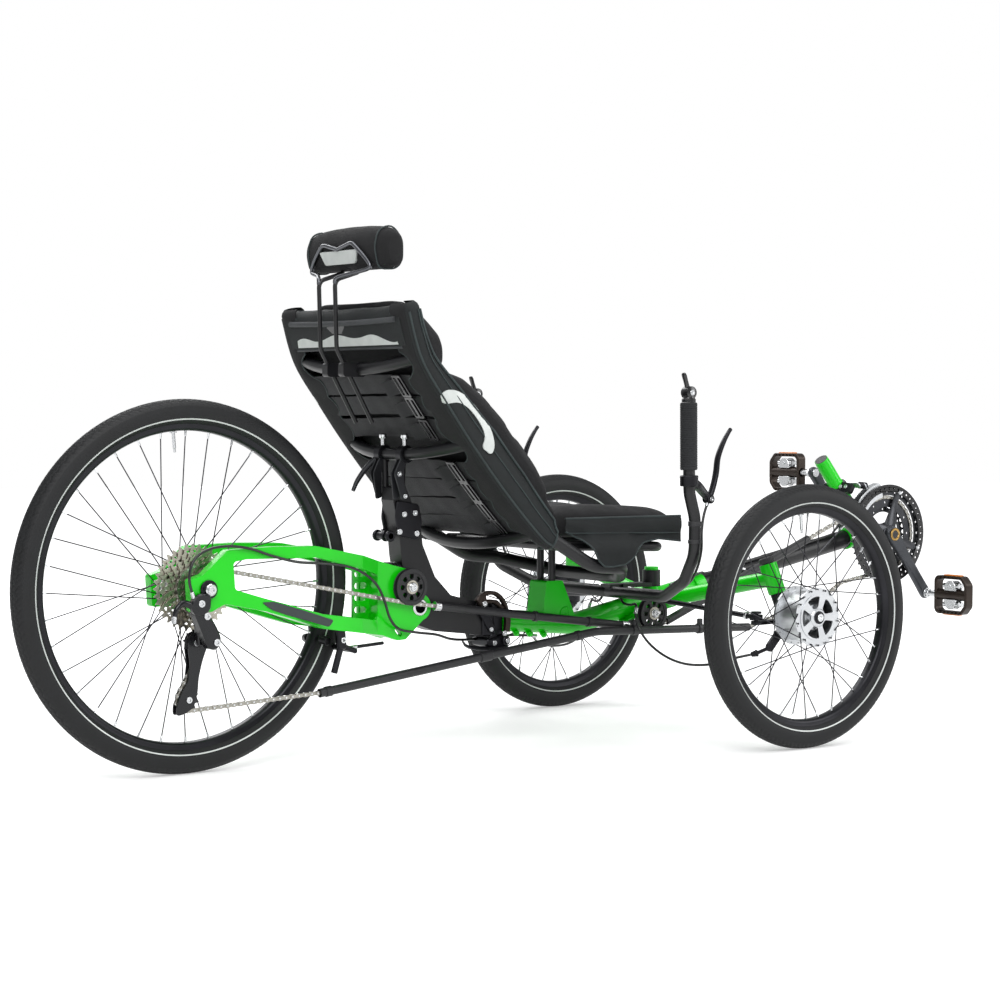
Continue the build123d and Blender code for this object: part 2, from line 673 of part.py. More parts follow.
# ---- handlebar: a sleeve on the post, a stem plate, and one bent tube for each side
stem_low = pivot_seat + body_gap
bar_y, bar_height = bar_centre
pin_root = stem_low + 1 - rod_inner_height
eye_rise = rod_eye_height / 2
pin_head_gap = 1.0
spacer_radius = 6.0
pin_head_radius = 6.0
stem_half_width = 15.0
with BuildPart() as handlebar:
    for name, side in sides:
        route = [(0, bar_y, bar_height), bar_low, bar_bend, bar_side, bar_jog_low, bar_jog_high, bar_top]
        route = [(0, aft(bar_y), bar_height)] + [(side * px, aft(py), pz) for px, py, pz in route[1:]]
        add(bent_tube(route, [60.0, 45.0, 50.0, 60.0, 60.0], bar_radius))
    with BuildSketch(Plane.XY.offset(stem_low)):
        with Locations((0, aft((pivot_y + bar_y) / 2))):
            Rectangle(2 * stem_half_width, bar_y - pivot_y + 16)
        with Locations((0, aft(pivot_y + steer_arm))):
            Rectangle(2 * (rod_pin_x + 8), 18)
        with Locations((0, aft(pivot_y))):
            Circle(head_radius + 1)
    extrude(amount=stem_thickness)
    with BuildSketch(Plane.XY.offset(stem_low)):
        with Locations((0, aft(pivot_y))):
            Circle(head_radius + 1)
    extrude(amount=sleeve_height)
    with BuildSketch(Plane.XY.offset(stem_low)):
        with Locations((0, aft(pivot_y))):
            Circle(pivot_post_radius + running_fit)
    extrude(amount=sleeve_height, mode=Mode.SUBTRACT)
    for name, side in sides:
        head_top_point = rod_pin_point(side, -eye_rise - pin_head_gap)
        head_low_point = rod_pin_point(side, -eye_rise - pin_head_gap - 2)
        add(rod(rod_pin_point(side, pin_root), head_low_point, rod_pin_radius))
        add(rod(rod_pin_point(side, pin_root), rod_pin_point(side, eye_rise + body_gap), spacer_radius))
        add(rod(head_top_point, head_low_point, pin_head_radius))
handlebar.part.label = "handlebar"
export_step(handlebar.part, "parts/handlebar.step")

# ---- tie rods
rod_bore = rod_pin_radius + running_fit
rod_play = rod_pin_radius + rod_outer_play
for name, side in sides:
    inner = rod_pin_point(side, 0)
    outer = (side * (kingpin_x + steer_toe), aft(steer_arm), rod_outer_height)
    direction = (Vector(*outer) - Vector(*inner)).normalized()
    with BuildPart() as tie_rod:
        add(rod(Vector(*inner) + direction * 6, Vector(*outer) - direction * 9, rod_radius))
        for centre, bore, eye, turn_axis in (
            (inner, rod_bore, rod_eye_radius, (side * rod_lean[0], rod_lean[1], 1)),
            (outer, rod_play, rod_eye_radius + 4, (0, 0, 1)),
        ):
            eye_plane = Plane(origin=centre, z_dir=turn_axis).offset(-eye_rise)
            with BuildSketch(eye_plane):
                Circle(eye)
            extrude(amount=rod_eye_height)
            with BuildSketch(eye_plane):
                Circle(bore)
            extrude(amount=rod_eye_height, mode=Mode.SUBTRACT)
    tie_rod.part.label = f"{name}_tie_rod"
    export_step(tie_rod.part, f"parts/{name}_tie_rod.step")

# ---- grips, bar-end shifters and brake levers
grip_gap = 0.1
shifter_tip = (335.0, 266.0, 706.0)
lever_line = [(300.0, 172.0, 470.0), (300.0, 157.0, 503.0), (300.0, 150.0, 548.0), (300.0, 121.0, 602.0)]
brake_lever_radius = 6.5
bar_run = Vector(0, bar_top[1] - bar_jog_high[1], bar_top[2] - bar_jog_high[2]).normalized()
for name, side in sides:
    top = Vector(side * bar_top[0], aft(bar_top[1]), bar_top[2])
    grip_length = (bar_top[2] - grip_bottom) / bar_run.Z
    foot = top - bar_run * grip_length
    with BuildPart() as grip:
        add(rod(foot, top, grip_radius))
        add(rod(foot, top, bar_radius + grip_gap), mode=Mode.SUBTRACT)
    grip.part.label = f"{name}_grip"
    export_step(grip.part, f"parts/{name}_grip.step")

    plug = top + bar_run * 18
    with BuildPart() as shifter:
        add(rod(top, plug, 13.0))
        add(rod(plug - bar_run * 6, (side * shifter_tip[0], aft(shifter_tip[1]), shifter_tip[2]), 6.0))
        with BuildSketch(Plane.YZ.offset(side * bar_top[0] - 11)):
            with Locations((plug.Y, plug.Z)):
                Circle(12.0)
        extrude(amount=22.0)
    shifter.part.label = f"{name}_shifter"
    export_step(shifter.part, f"parts/{name}_shifter.step")

    lever_points = [(side * px, aft(py), pz) for px, py, pz in lever_line]
    clamp = foot - bar_run * 2
    with BuildPart() as lever:
        add(bent_tube(lever_points, [24.0, 40.0], brake_lever_radius))
        lever_side, lever_y, lever_z = lever_line[1]
        add(rod((side * lever_side, aft(lever_y), lever_z - 6), clamp - bar_run * 10, 8.0))
        add(rod(clamp, clamp - bar_run * 20, bar_radius + 6))
        add(rod(clamp, clamp - bar_run * 20, bar_radius + grip_gap), mode=Mode.SUBTRACT)
        add(rod(top, foot - bar_run * 40, bar_radius + grip_gap), mode=Mode.SUBTRACT)
    lever.part.label = f"{name}_brake_lever"
    export_step(lever.part, f"parts/{name}_brake_lever.step")

# ---- seat: one bent rail, three bowed cross tubes, a base loop and its stays
rail_side = [(779.0, 812.0), (752.0, 730.0), (640.0, 578.0), (490.0, 415.0), (369.0, 347.0)]
loop_corner = (300.0, 342.0)
loop_front = (214.0, 316.0)
loop_half_front = 90.0
cross_tubes = ((752.0, 730.0, 776.0, 708.0), (640.0, 578.0, 680.0, 554.0), (490.0, 415.0, 522.0, 386.0))
left_rail = [(seat_half_width, aft(y), z) for y, z in rail_side]
left_rail += [(seat_half_width, aft(loop_corner[0]), loop_corner[1]),
              (loop_half_front, aft(loop_front[0]), loop_front[1])]
right_rail = [(-x, y, z) for x, y, z in reversed(left_rail)]
middle_bow = cross_tubes[1]
strut_foot = (680.0, 474.0)
strut_foot_x = carrier_half_width + 6
strut_top_x = 30.0
rail_bends = [90.0, 260.0, 260.0, 110.0, 42.0, 60.0]
cross_radius = 11.0
base_tube_radius = 9.0
base_rear = (436.0, 386.0)
base_front = (168.0, 376.0)
stay_x = pedestal_half_width - 8
stay_y = 324.0
stay_top = 382.0
stay_radius = 7.0
with BuildPart() as seat_frame:
    add(bent_tube(left_rail + right_rail, rail_bends + rail_bends[::-1], seat_tube_radius))
    for end_y, end_z, mid_y, mid_z in cross_tubes:
        with BuildLine() as bow:
            ThreePointArc((-seat_half_width, aft(end_y), end_z), (0, aft(mid_y), mid_z),
                          (seat_half_width, aft(end_y), end_z))
        bow_start = Plane(origin=bow.line @ 0, z_dir=bow.line % 0)
        with BuildSketch(bow_start):
            Circle(cross_radius)
        sweep(path=bow.wires()[0])
    for name, side in sides:
        add(rod((side * strut_foot_x, aft(strut_foot[0]), strut_foot[1]),
                (side * strut_top_x, aft(middle_bow[2]), middle_bow[3]), 6.0))
seat_frame.part.label = "seat_frame"
export_step(seat_frame.part, "parts/seat_frame.step")

base_half = seat_half_width - 30
base_points = [
    (base_half, aft(base_rear[0]), base_rear[1]), (base_half, aft(base_front[0]), base_front[1]),
    (-base_half, aft(base_front[0]), base_front[1]), (-base_half, aft(base_rear[0]), base_rear[1]),
]
base_rear_tube = base_rear[0] - 20
with BuildPart() as seat_base_frame:
    add(bent_tube(base_points, [36.0, 36.0], base_tube_radius))
    add(rod((-seat_half_width + seat_tube_radius, aft(base_rear_tube), base_rear[1] - 2),
            (seat_half_width - seat_tube_radius, aft(base_rear_tube), base_rear[1] - 2), base_tube_radius))
    for name, side in sides:
        add(rod((side * stay_x, aft(stay_y), pedestal_top), (side * stay_x, aft(stay_y), stay_top), stay_radius))
    add(rod((-base_half, aft(stay_y), stay_top), (base_half, aft(stay_y), stay_top), stay_radius))
seat_base_frame.part.label = "seat_base_frame"
export_step(seat_base_frame.part, "parts/seat_base_frame.step")


def offset_line(points, distance):
    # A line of (distance, height) points moved to its front side by a distance.
    moved = []
    for index, (y, z) in enumerate(points):
        before = points[max(index - 1, 0)]
        after = points[min(index + 1, len(points) - 1)]
        run = math.hypot(after[0] - before[0], after[1] - before[1])
        moved.append((y + distance * (after[1] - before[1]) / run * -1,
                      z + distance * (after[0] - before[0]) / run))
    return moved


back_line = [(462.0, 398.0), (490.0, 415.0), (566.0, 492.0), (640.0, 578.0), (700.0, 656.0), (752.0, 730.0),
             (779.0, 812.0)]
sling_thickness = 5.0
sling_stand = cross_radius + 1.0
sling_front = offset_line(back_line, sling_stand + sling_thickness)
sling_rear = offset_line(back_line, sling_stand)
sling_half_width = seat_half_width - seat_tube_radius - 0.5
with BuildPart() as seat_sling:
    add(side_plate(sling_front + sling_rear[::-1], 0, -sling_half_width, sling_half_width))
seat_sling.part.label = "seat_sling"
export_step(seat_sling.part, "parts/seat_sling.step")

cushion_gap = 0.3
cushion_line = back_line[1:]
back_face = offset_line(cushion_line, sling_stand + sling_thickness + cushion_gap)
front_face = offset_line(cushion_line, sling_stand + sling_thickness + cushion_gap + cushion_thickness)
with BuildPart() as back_cushion:
    add(side_plate(front_face + back_face[::-1], 0, -cushion_half_width, cushion_half_width))
    fillet(back_cushion.edges().filter_by(Axis.X).sort_by(Axis.Z)[-1], 20.0)
back_cushion.part.label = "back_cushion"
export_step(back_cushion.part, "parts/back_cushion.step")

base_low = base_tube_radius + cushion_gap
base_cushion_outline = [
    (base_rear[0], base_rear[1] + base_low), (base_rear[0] + 4, 422.0), (300.0, 438.0), (176.0, 450.0),
    (140.0, 440.0), (140.0, 390.0), (base_front[0], base_front[1] + base_low),
]
with BuildPart() as base_cushion:
    add(side_plate(base_cushion_outline, 8.0, -base_half_width, base_half_width))
base_cushion.part.label = "base_cushion"
export_step(base_cushion.part, "parts/base_cushion.step")

# ---- headrest on two bent rods, clamped behind the top cross tube
headrest_route = [(745.0, 612.0), (822.0, 745.0), (826.0, 868.0), (776.0, 884.0), (770.0, 900.0)]
clamp_place = (800.0, 707.0)
pad_half_width = 135.0
pad_outline = [(738.0, 900.0), (752.0, 890.0), (790.0, 888.0), (800.0, 930.0), (790.0, 962.0), (760.0, 971.0),
               (738.0, 950.0)]
upper_bow = cross_tubes[0]
with BuildPart() as headrest_rods:
    for name, side in sides:
        points = [(side * rod_gap, aft(y), z) for y, z in headrest_route]
        add(bent_tube(points, [30.0, 16.0, 8.0], headrest_rod_radius))
    add(rod((-rod_gap, aft(770.0), 899.0), (rod_gap, aft(770.0), 899.0), headrest_rod_radius + 1))
    for name, side in sides:
        with BuildSketch(Plane.YZ.offset(side * rod_gap - 9)):
            with Locations((aft((upper_bow[2] + clamp_place[0]) / 2 + 1), upper_bow[3])):
                RectangleRounded(48, 26, 6)
        extrude(amount=18.0)
    add(seat_frame.part, mode=Mode.SUBTRACT)
headrest_rods.part.label = "headrest_rods"
export_step(headrest_rods.part, "parts/headrest_rods.step")

with BuildPart() as headrest_pad:
    add(side_plate(pad_outline, 10.0, -pad_half_width, pad_half_width))
    add(headrest_rods.part, mode=Mode.SUBTRACT)
headrest_pad.part.label = "headrest_pad"
export_step(headrest_pad.part, "parts/headrest_pad.step")

# ---- chain line: circles that the chain runs on, each with its place, radius and turn direction
guide_jockey = (1121.0, 233.0)
lower_jockey = (1136.0, 135.0)
jockey_radius = 20.0
cog_radius = cog_teeth[chain_cog] * tooth_pitch / (2 * math.pi)
return_rear = (880.0, 131.0)
return_turn = (250.0, 209.0)
return_front = (-147.0, 198.0)
return_ring = (-400.0, 258.0)
chain_stops = (
    (chain_x, rear_idler[0], rear_idler[1], idler_radius, 1, 1),
    (chain_x, wheelbase, rear_radius, cog_radius, -1, 4),
    (chain_x, guide_jockey[0], guide_jockey[1], jockey_radius, 1, 3),
    (chain_x, lower_jockey[0], lower_jockey[1], jockey_radius, -1, 3),
    (return_x, return_rear[0], return_rear[1], 0, 1, 1),
    (return_x, return_turn[0], return_turn[1], 0, 1, 1),
    (return_x, return_front[0], return_front[1], 0, 1, 1),
    (chain_x, return_ring[0], return_ring[1], 0, 1, 1),
    (chain_x, -bb_reach, bb_height, ring_radius, -1, 4),
    (chain_x, front_idler[0], front_idler[1], idler_radius, 1, 1),
)


def run_angle(first, second):
    # The direction of the straight run that touches two circles of the chain line.
    step_y = second[1] - first[1]
    step_z = second[2] - first[2]
    lean = (second[4] * second[3] - first[4] * first[3]) / math.hypot(step_y, step_z)
    return math.atan2(step_z, step_y) - math.asin(lean)


def touch_point(stop, angle, reach=1.0):
    # The point of a circle where a run at an angle touches it, or a corner outside it.
    x, y, z, radius, turn, corners = stop
    return (x, aft(y + turn * radius * reach * math.sin(angle)), z - turn * radius * reach * math.cos(angle))


def chain_corners(stops, number):
    # The corners that take the chain round one circle, with the bend radius of each.
    stop = stops[number]
    angle_in = run_angle(stops[number - 1], stop)
    angle_out = run_angle(stop, stops[(number + 1) % len(stops)])
    if stop[3] == 0:
        return [(stop[0], aft(stop[1]), stop[2])], [140.0]
    turned = angle_out - angle_in
    while turned * stop[4] < 0:
        turned += 2 * math.pi * stop[4]
    step = turned / stop[5]
    reach = 1 / math.cos(step / 2)
    corners = [touch_point(stop, angle_in + step * (corner + 0.5), reach) for corner in range(stop[5])]
    return corners, [stop[3] * 0.96] * stop[5]


power_angle = run_angle(chain_stops[-1], chain_stops[0])
power_front = touch_point(chain_stops[-1], power_angle)
power_rear = touch_point(chain_stops[0], power_angle)


def power_point(distance):
    # A point on the straight power run between the two idlers.
    share = (aft(distance) - power_front[1]) / (power_rear[1] - power_front[1])
    return (chain_x, aft(distance), power_front[2] + share * (power_rear[2] - power_front[2]))


chain_route = [power_point(301.0)]
chain_bends = []
for number in range(len(chain_stops)):
    corners, bends = chain_corners(chain_stops, number)
    chain_route += corners
    chain_bends += bends
chain_route.append(power_point(300.0))
with BuildPart() as chain:
    with BuildLine() as chain_path:
        FilletPolyline(*chain_route, radius=chain_bends)
    with BuildSketch(Plane(origin=chain_route[0], x_dir=(1, 0, 0),
                           z_dir=Vector(*chain_route[1]) - Vector(*chain_route[0]))):
        Rectangle(2 * chain_half_width, 2 * chain_half_height)
    sweep(path=chain_path.wires()[0])
chain.part.label = "chain"
export_step(chain.part, "parts/chain.step")
print("chain length", round(chain_path.wires()[0].length), "volume", round(chain.part.volume))

# ---- chain tubes
ring_angle = run_angle(chain_stops[-2], chain_stops[-1])
ring_top = touch_point(chain_stops[-2], ring_angle)
idler_low = touch_point(chain_stops[-1], ring_angle)


def front_point(distance):
    # A point on the straight run from the chainring down to the front idler.
    share = (aft(distance) - idler_low[1]) / (ring_top[1] - idler_low[1])
    return (chain_x, aft(distance), idler_low[2] + share * (ring_top[2] - idler_low[2]))


power_tube_front = 158.0
power_tube_rear = 617.0
upper_tube_rear = 56.0
upper_tube_front = -330.0
tube_runs = (
    ("power_tube", power_point(power_tube_front), power_point(power_tube_rear)),
    ("front_tube", front_point(upper_tube_front), front_point(upper_tube_rear)),
)
for name, start, end in tube_runs:
    with BuildPart() as chain_tube:
        add(rod(start, end, chain_tube_radius))
        add(rod(start, end, chain_tube_bore), mode=Mode.SUBTRACT)
    chain_tube.part.label = name
    export_step(chain_tube.part, f"parts/{name}.step")

return_route = [(return_x, aft(y), z) for y, z in (return_rear, return_turn, return_front)]
with BuildPart() as return_tube:
    add(bent_tube(return_route, 140.0, chain_tube_radius))
    add(bent_tube(return_route, 140.0, chain_tube_bore), mode=Mode.SUBTRACT)
return_tube.part.label = "return_tube"
export_step(return_tube.part, "parts/return_tube.step")

# ---- idlers on their brackets
idler_half_width = 6.5
for name, place in (("front_idler", front_idler), ("rear_idler", rear_idler)):
    with BuildPart() as idler:
        for low_x, high_x, radius in (
            (-idler_half_width, idler_half_width, idler_radius - chain_half_height - chain_clear),
            (-idler_half_width, -idler_half_width + 2.5, idler_flange_radius),
            (idler_half_width - 2.5, idler_half_width, idler_flange_radius),
        ):
            with BuildSketch(Plane.YZ.offset(chain_x + low_x)):
                with Locations((aft(place[0]), place[1])):
                    Circle(radius)
            extrude(amount=high_x - low_x)
        with BuildSketch(Plane.YZ.offset(chain_x - idler_half_width)):
            with Locations((aft(place[0]), place[1])):
                Circle(idler_bolt_radius + running_fit)
        extrude(amount=2 * idler_half_width, mode=Mode.SUBTRACT)
    idler.part.label = name
    export_step(idler.part, f"parts/{name}.step")

bolt_out = chain_x - idler_half_width - 4
bolt_in = chain_x + idler_half_width + body_gap
with BuildPart() as front_bracket:
    add(rod((bolt_out, aft(front_idler[0]), front_idler[1]), (bolt_in, aft(front_idler[0]), front_idler[1]),
            idler_bolt_radius))
    add(rod((bolt_out, aft(front_idler[0]), front_idler[1]),
            (chain_x - idler_half_width - body_gap, aft(front_idler[0]), front_idler[1]), idler_bolt_radius + 3))
    add(rod((bolt_in, aft(front_idler[0]), front_idler[1]), (0, aft(front_idler[0]), front_idler[1]), 11.0))
    add(main_frame.part, mode=Mode.SUBTRACT)
front_bracket.part.label = "front_bracket"
export_step(front_bracket.part, "parts/front_bracket.step")

# The swingarm turns on a hollow axle through the carrier, with a washer at each side.
axle_bore = 10.5
washer_radius = 20.0
with BuildPart() as swing_axle:
    add(rod((-cheek_outer - 1, aft(swing_pivot[0]), swing_pivot[1]),
            (cheek_outer + 1, aft(swing_pivot[0]), swing_pivot[1]), pivot_bore))
    for name, side in sides:
        add(rod((side * carrier_half_width, aft(swing_pivot[0]), swing_pivot[1]),
                (side * cheek_inner, aft(swing_pivot[0]), swing_pivot[1]), washer_radius))
    add(rod((-cheek_outer - 1, aft(swing_pivot[0]), swing_pivot[1]),
            (cheek_outer + 1, aft(swing_pivot[0]), swing_pivot[1]), axle_bore), mode=Mode.SUBTRACT)
swing_axle.part.label = "swing_axle"
export_step(swing_axle.part, "parts/swing_axle.step")

# ---- rear mech: a body on the hanger and a cage with two jockey wheels
hanger = (1130.0, 303.0)
mech_x = -swing_outer_rear - 3
cage_gap = 5.0
cage_plate = 1.8
jockey_root = jockey_radius - chain_half_height - chain_clear
with BuildPart() as rear_mech:
    add(rod((-swing_outer_rear, aft(hanger[0]), hanger[1]), (mech_x - 9, aft(hanger[0]), hanger[1]), 10.0))
    add(side_plate([(1112, 312), (1140, 312), (1146, 280), (1136, 236), (1112, 222), (1100, 240), (1106, 280)],
                   5.0, mech_x - 8, mech_x))
    add(rod((mech_x, aft(guide_jockey[0]), guide_jockey[1]),
            (chain_x - cage_gap, aft(guide_jockey[0]), guide_jockey[1]), 15.0))
    for plate_x in (chain_x - cage_gap - cage_plate, chain_x + cage_gap):
        middle_y = (guide_jockey[0] + lower_jockey[0]) / 2
        middle_z = (guide_jockey[1] + lower_jockey[1]) / 2
        reach_y = lower_jockey[0] - guide_jockey[0]
        reach_z = lower_jockey[1] - guide_jockey[1]
        with BuildSketch(Plane.YZ.offset(plate_x)):
            with Locations((aft(middle_y), middle_z)):
                SlotCenterToCenter(math.hypot(reach_y, reach_z), 26,
                                   rotation=math.degrees(math.atan2(reach_z, reach_y)))
        extrude(amount=cage_plate)
    for y, z in (guide_jockey, lower_jockey):
        add(rod((chain_x - cage_gap, aft(y), z), (chain_x + cage_gap, aft(y), z), 4.0))
        add(rod((chain_x - 1.2, aft(y), z), (chain_x + 1.2, aft(y), z), jockey_root))
rear_mech.part.label = "rear_mech"
export_step(rear_mech.part, "parts/rear_mech.step")

# ---- parking brake: two arms on bosses under the swingarm, beside the rear rim
brake_boss = (826.0, 236.0)
brake_boss_x = 46.0
bridge_gap = 20.4
bridge_angle = math.radians(21.4)
bridge_y = aft(wheelbase - (rear_radius + bridge_gap) * math.cos(bridge_angle))
bridge_z = rear_radius - (rear_radius + bridge_gap) * math.sin(bridge_angle)
with BuildPart() as park_brake:
    for name, side in sides:
        boss = (side * brake_boss_x, aft(brake_boss[0]), brake_boss[1])
        elbow = (side * brake_boss_x, aft(brake_boss[0]) - 6, brake_boss[1] - 26)
        add(rod(boss, elbow, 8.0))
        add(rod((side * brake_boss_x, aft(brake_boss[0]) - 4, brake_boss[1] - 20),
                (side * (brake_boss_x - 6), aft(brake_boss[0]) + 8, brake_boss[1] - 74), 6.0))
        add(rod((side * brake_boss_x, bridge_y, bridge_z), elbow, 5.0))
    add(rod((-brake_boss_x, bridge_y, bridge_z), (brake_boss_x, bridge_y, bridge_z), 4.0))
    add(swingarm.part, mode=Mode.SUBTRACT)
park_brake.part.label = "park_brake"
export_step(park_brake.part, "parts/park_brake.step")

# ---- cranks: spindle, rings and guard with the right arm, and the left arm on its own
arm_inner = bb_shell_width / 2 + 25.0
arm_thickness = 15.0
arm_width = 28.0
spider_x = chain_x - chain_half_width - 1.6
spider_thickness = 4.0
ring_thickness = 2.2
bolt_circle = 66.0
arm_angle = crank_drop
pedal_axle = {
    "right": (bb_y - pedal_forward, bb_height - crank_length * math.sin(crank_angle)),
    "left": (bb_y + pedal_forward, bb_height + crank_length * math.sin(crank_angle)),
}
pedal_thread = 7.0
ring_bolt_radius = 3.6


def crank_arm(side, end, start_x):
    # A crank arm from the bottom bracket to the pedal eye, as a slot with a bored eye.
    middle_y = (bb_y + end[0]) / 2
    middle_z = (bb_height + end[1]) / 2
    with BuildPart() as arm:
        with BuildSketch(Plane.YZ.offset(side * start_x)):
            with Locations((middle_y, middle_z)):
                SlotCenterToCenter(crank_length, arm_width, rotation=arm_angle)
        extrude(amount=side * arm_thickness)
        with BuildSketch(Plane.YZ.offset(side * start_x)):
            with Locations(end):
                Circle(pedal_thread + running_fit)
        extrude(amount=side * arm_thickness, mode=Mode.SUBTRACT)
    return arm.part


ring_rows = (
    (chain_x, ring_radius - chain_half_height - chain_clear, bolt_circle - 8),
    (spider_x - spider_thickness / 2, outer_ring_radius, bolt_circle + 17),
    (chain_x + 6.6, inner_ring_radius, bolt_circle - 18),
)
right_arm = crank_arm(-1, pedal_axle["right"], arm_inner)
with BuildPart() as crankset:
    add(right_arm)
    add(rod((-arm_inner - arm_thickness, bb_y, bb_height), (arm_inner - 4, bb_y, bb_height), spindle_radius))
    for centre_x, outer, inner in ring_rows:
        with BuildSketch(Plane.YZ.offset(centre_x - ring_thickness / 2)):
            with Locations((bb_y, bb_height)):
                Circle(outer)
                Circle(inner, mode=Mode.SUBTRACT)
        extrude(amount=ring_thickness)
    with BuildSketch(Plane.YZ.offset(spider_x - spider_thickness - 6)):
        with Locations((bb_y, bb_height)):
            Circle(guard_radius)
            Circle(guard_radius - 14, mode=Mode.SUBTRACT)
    extrude(amount=3.0)
    with BuildSketch(Plane.YZ.offset(spider_x - spider_thickness)):
        with Locations((bb_y, bb_height)):
            Circle(26.0)
            with PolarLocations(bolt_circle / 2 + 12, 4, start_angle=20):
                Rectangle(bolt_circle + 22, 16)
    extrude(amount=spider_thickness)
    with BuildSketch(Plane.YZ.offset(-arm_inner)):
        with Locations((bb_y, bb_height)):
            Circle(20.0)
    extrude(amount=arm_inner + spider_x)
    for radius, low_x, high_x in (
        (bolt_circle, chain_x - ring_thickness / 2, spider_x),
        (bolt_circle - 10, chain_x, chain_x + 6.6),
        (outer_ring_radius - 7, spider_x - spider_thickness - 4, spider_x - spider_thickness / 2),
    ):
        with BuildSketch(Plane.YZ.offset(low_x)):
            with Locations((bb_y, bb_height)):
                with PolarLocations(radius, 4, start_angle=20):
                    Circle(ring_bolt_radius)
        extrude(amount=high_x - low_x)
crankset.part.label = "crankset"
export_step(crankset.part, "parts/crankset.step")

left_arm = crank_arm(1, pedal_axle["left"], arm_inner)
with BuildPart() as left_crank:
    add(left_arm)
    add(rod((arm_inner - 4, bb_y, bb_height), (arm_inner, bb_y, bb_height), 16.0))
    add(rod((arm_inner - 22, bb_y, bb_height), (arm_inner, bb_y, bb_height), 16.0))
    add(rod((0, bb_y, bb_height), (arm_inner - 4, bb_y, bb_height), spindle_radius), mode=Mode.SUBTRACT)
left_crank.part.label = "left_crank"
export_step(left_crank.part, "parts/left_crank.step")

# ---- pedals: a cage of two windows round a block, on an axle screwed into the crank
pedal_width = 94.0
pedal_height = 82.0
pedal_stand = 28.0
for name, side in sides:
    y, z = pedal_axle[name]
    inner_x = side * (arm_inner + arm_thickness + pedal_stand)
    middle_x = inner_x + side * pedal_width / 2
    with BuildPart() as pedal:
        with BuildSketch(Plane(origin=(middle_x, y + pedal_thickness / 2, z), x_dir=(1, 0, 0), z_dir=(0, -1, 0))):
            RectangleRounded(pedal_width, pedal_height, 12)
            with Locations((-pedal_width / 4 - 6, 0), (pedal_width / 4 + 6, 0)):
                RectangleRounded(pedal_width / 2 - 26, pedal_height - 20, 6, mode=Mode.SUBTRACT)
        extrude(amount=pedal_thickness)
        add(rod((side * (arm_inner + 1), y, z), (middle_x + side * pedal_width / 2, y, z), pedal_thread))
        add(rod((side * (arm_inner + arm_thickness + body_gap), y, z), (inner_x, y, z), pedal_thread + 3))
    pedal.part.label = f"{name}_pedal"
    export_step(pedal.part, f"parts/{name}_pedal.step")

# ---- cables: outer casings along their routes, each point as (side, distance, height)
cable_radius = 2.5
arc_share = 0.45
bar_route = [
    (300.0, 172.2, 469.6), (301.0, 184.0, 442.0), (309.0, 196.0, 412.0), (313.0, 200.0, 378.0),
    (303.0, 200.0, 346.0), (279.0, 196.0, 318.0), (240.0, 187.0, 300.0), (198.0, 176.0, 292.0),
    (150.0, 168.0, 290.0), (98.0, 161.0, 288.5), (48.0, 156.0, 288.0),
]
brake_route = [
    (72.0, 156.0, 252.0), (75.0, 160.0, 234.0), (86.0, 157.0, 207.0), (112.0, 152.0, 181.0),
    (158.0, 149.0, 161.0), (214.0, 149.0, 153.0), (266.0, 141.0, 156.0), (304.0, 126.0, 167.0),
]
shift_route = [
    (-89.0, 1147.0, 313.0), (-89.5, 1156.0, 345.0), (-88.0, 1147.0, 377.0), (-87.0, 1119.0, 395.0),
    (-87.0, 1079.0, 400.0), (-87.0, 1034.0, 394.0), (-86.0, 989.0, 380.0), (-84.0, 938.0, 368.0),
    (-76.0, 880.0, 363.0), (-66.0, 826.0, 356.0), (-59.0, 785.0, 342.0), (-57.0, 754.0, 319.0),
    (-56.0, 736.0, 288.0), (-52.0, 722.0, 257.0), (-45.0, 697.0, 235.0), (-41.5, 654.0, 226.0),
    (-33.0, 606.0, 219.0), (-16.0, 560.0, 207.0), (0.0, 510.0, 202.0), (8.0, 455.0, 202.0),
    (9.0, 400.0, 204.0), (8.0, 340.0, 199.5),
]
boom_route = [
    (-15.0, 22.0, 287.0), (-17.0, -22.0, 298.0), (-15.5, -60.0, 309.0), (-12.0, -108.0, 312.2),
    (-12.0, -398.0, 369.6), (-15.0, -434.0, 384.0), (-17.0, -452.0, 412.0), (-17.0, -457.0, 444.0),
]


def mirrored(route):
    # The same route on the other side.
    return [(-x, y, z) for x, y, z in route]


cables = (
    ("bar_cable_left", bar_route), ("bar_cable_right", mirrored(bar_route)),
    ("left_brake_cable", brake_route), ("right_brake_cable", mirrored(brake_route)),
    ("rear_shift_cable", shift_route), ("boom_cable", boom_route),
)
for name, route in cables:
    points = [Vector(x, aft(y), z) for x, y, z in route]
    arcs = []
    for before, corner, after in zip(points, points[1:], points[2:]):
        half_turn = math.radians((corner - before).get_angle(after - corner) / 2)
        shorter = min((corner - before).length, (after - corner).length)
        arcs.append(arc_share * shorter / math.tan(half_turn))
    with BuildPart() as cable:
        with BuildLine() as cable_path:
            FilletPolyline(*points, radius=arcs)
        with BuildSketch(Plane(origin=points[0], z_dir=points[1] - points[0])):
            Circle(cable_radius)
        sweep(path=cable_path.wires()[0])
    cable.part.label = name
    export_step(cable.part, f"parts/{name}.step")
    cable_length = cable_path.wires()[0].length
    section = math.pi * cable_radius ** 2
    print(name, "length", round(cable_length), "arc radii", [round(arc) for arc in arcs])
    print("its volume by section times length", round(cable.part.volume / (section * cable_length), 4))
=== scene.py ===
import math

import bmesh
import bpy
from mathutils import Matrix, Vector
from mathutils.geometry import tessellate_polygon


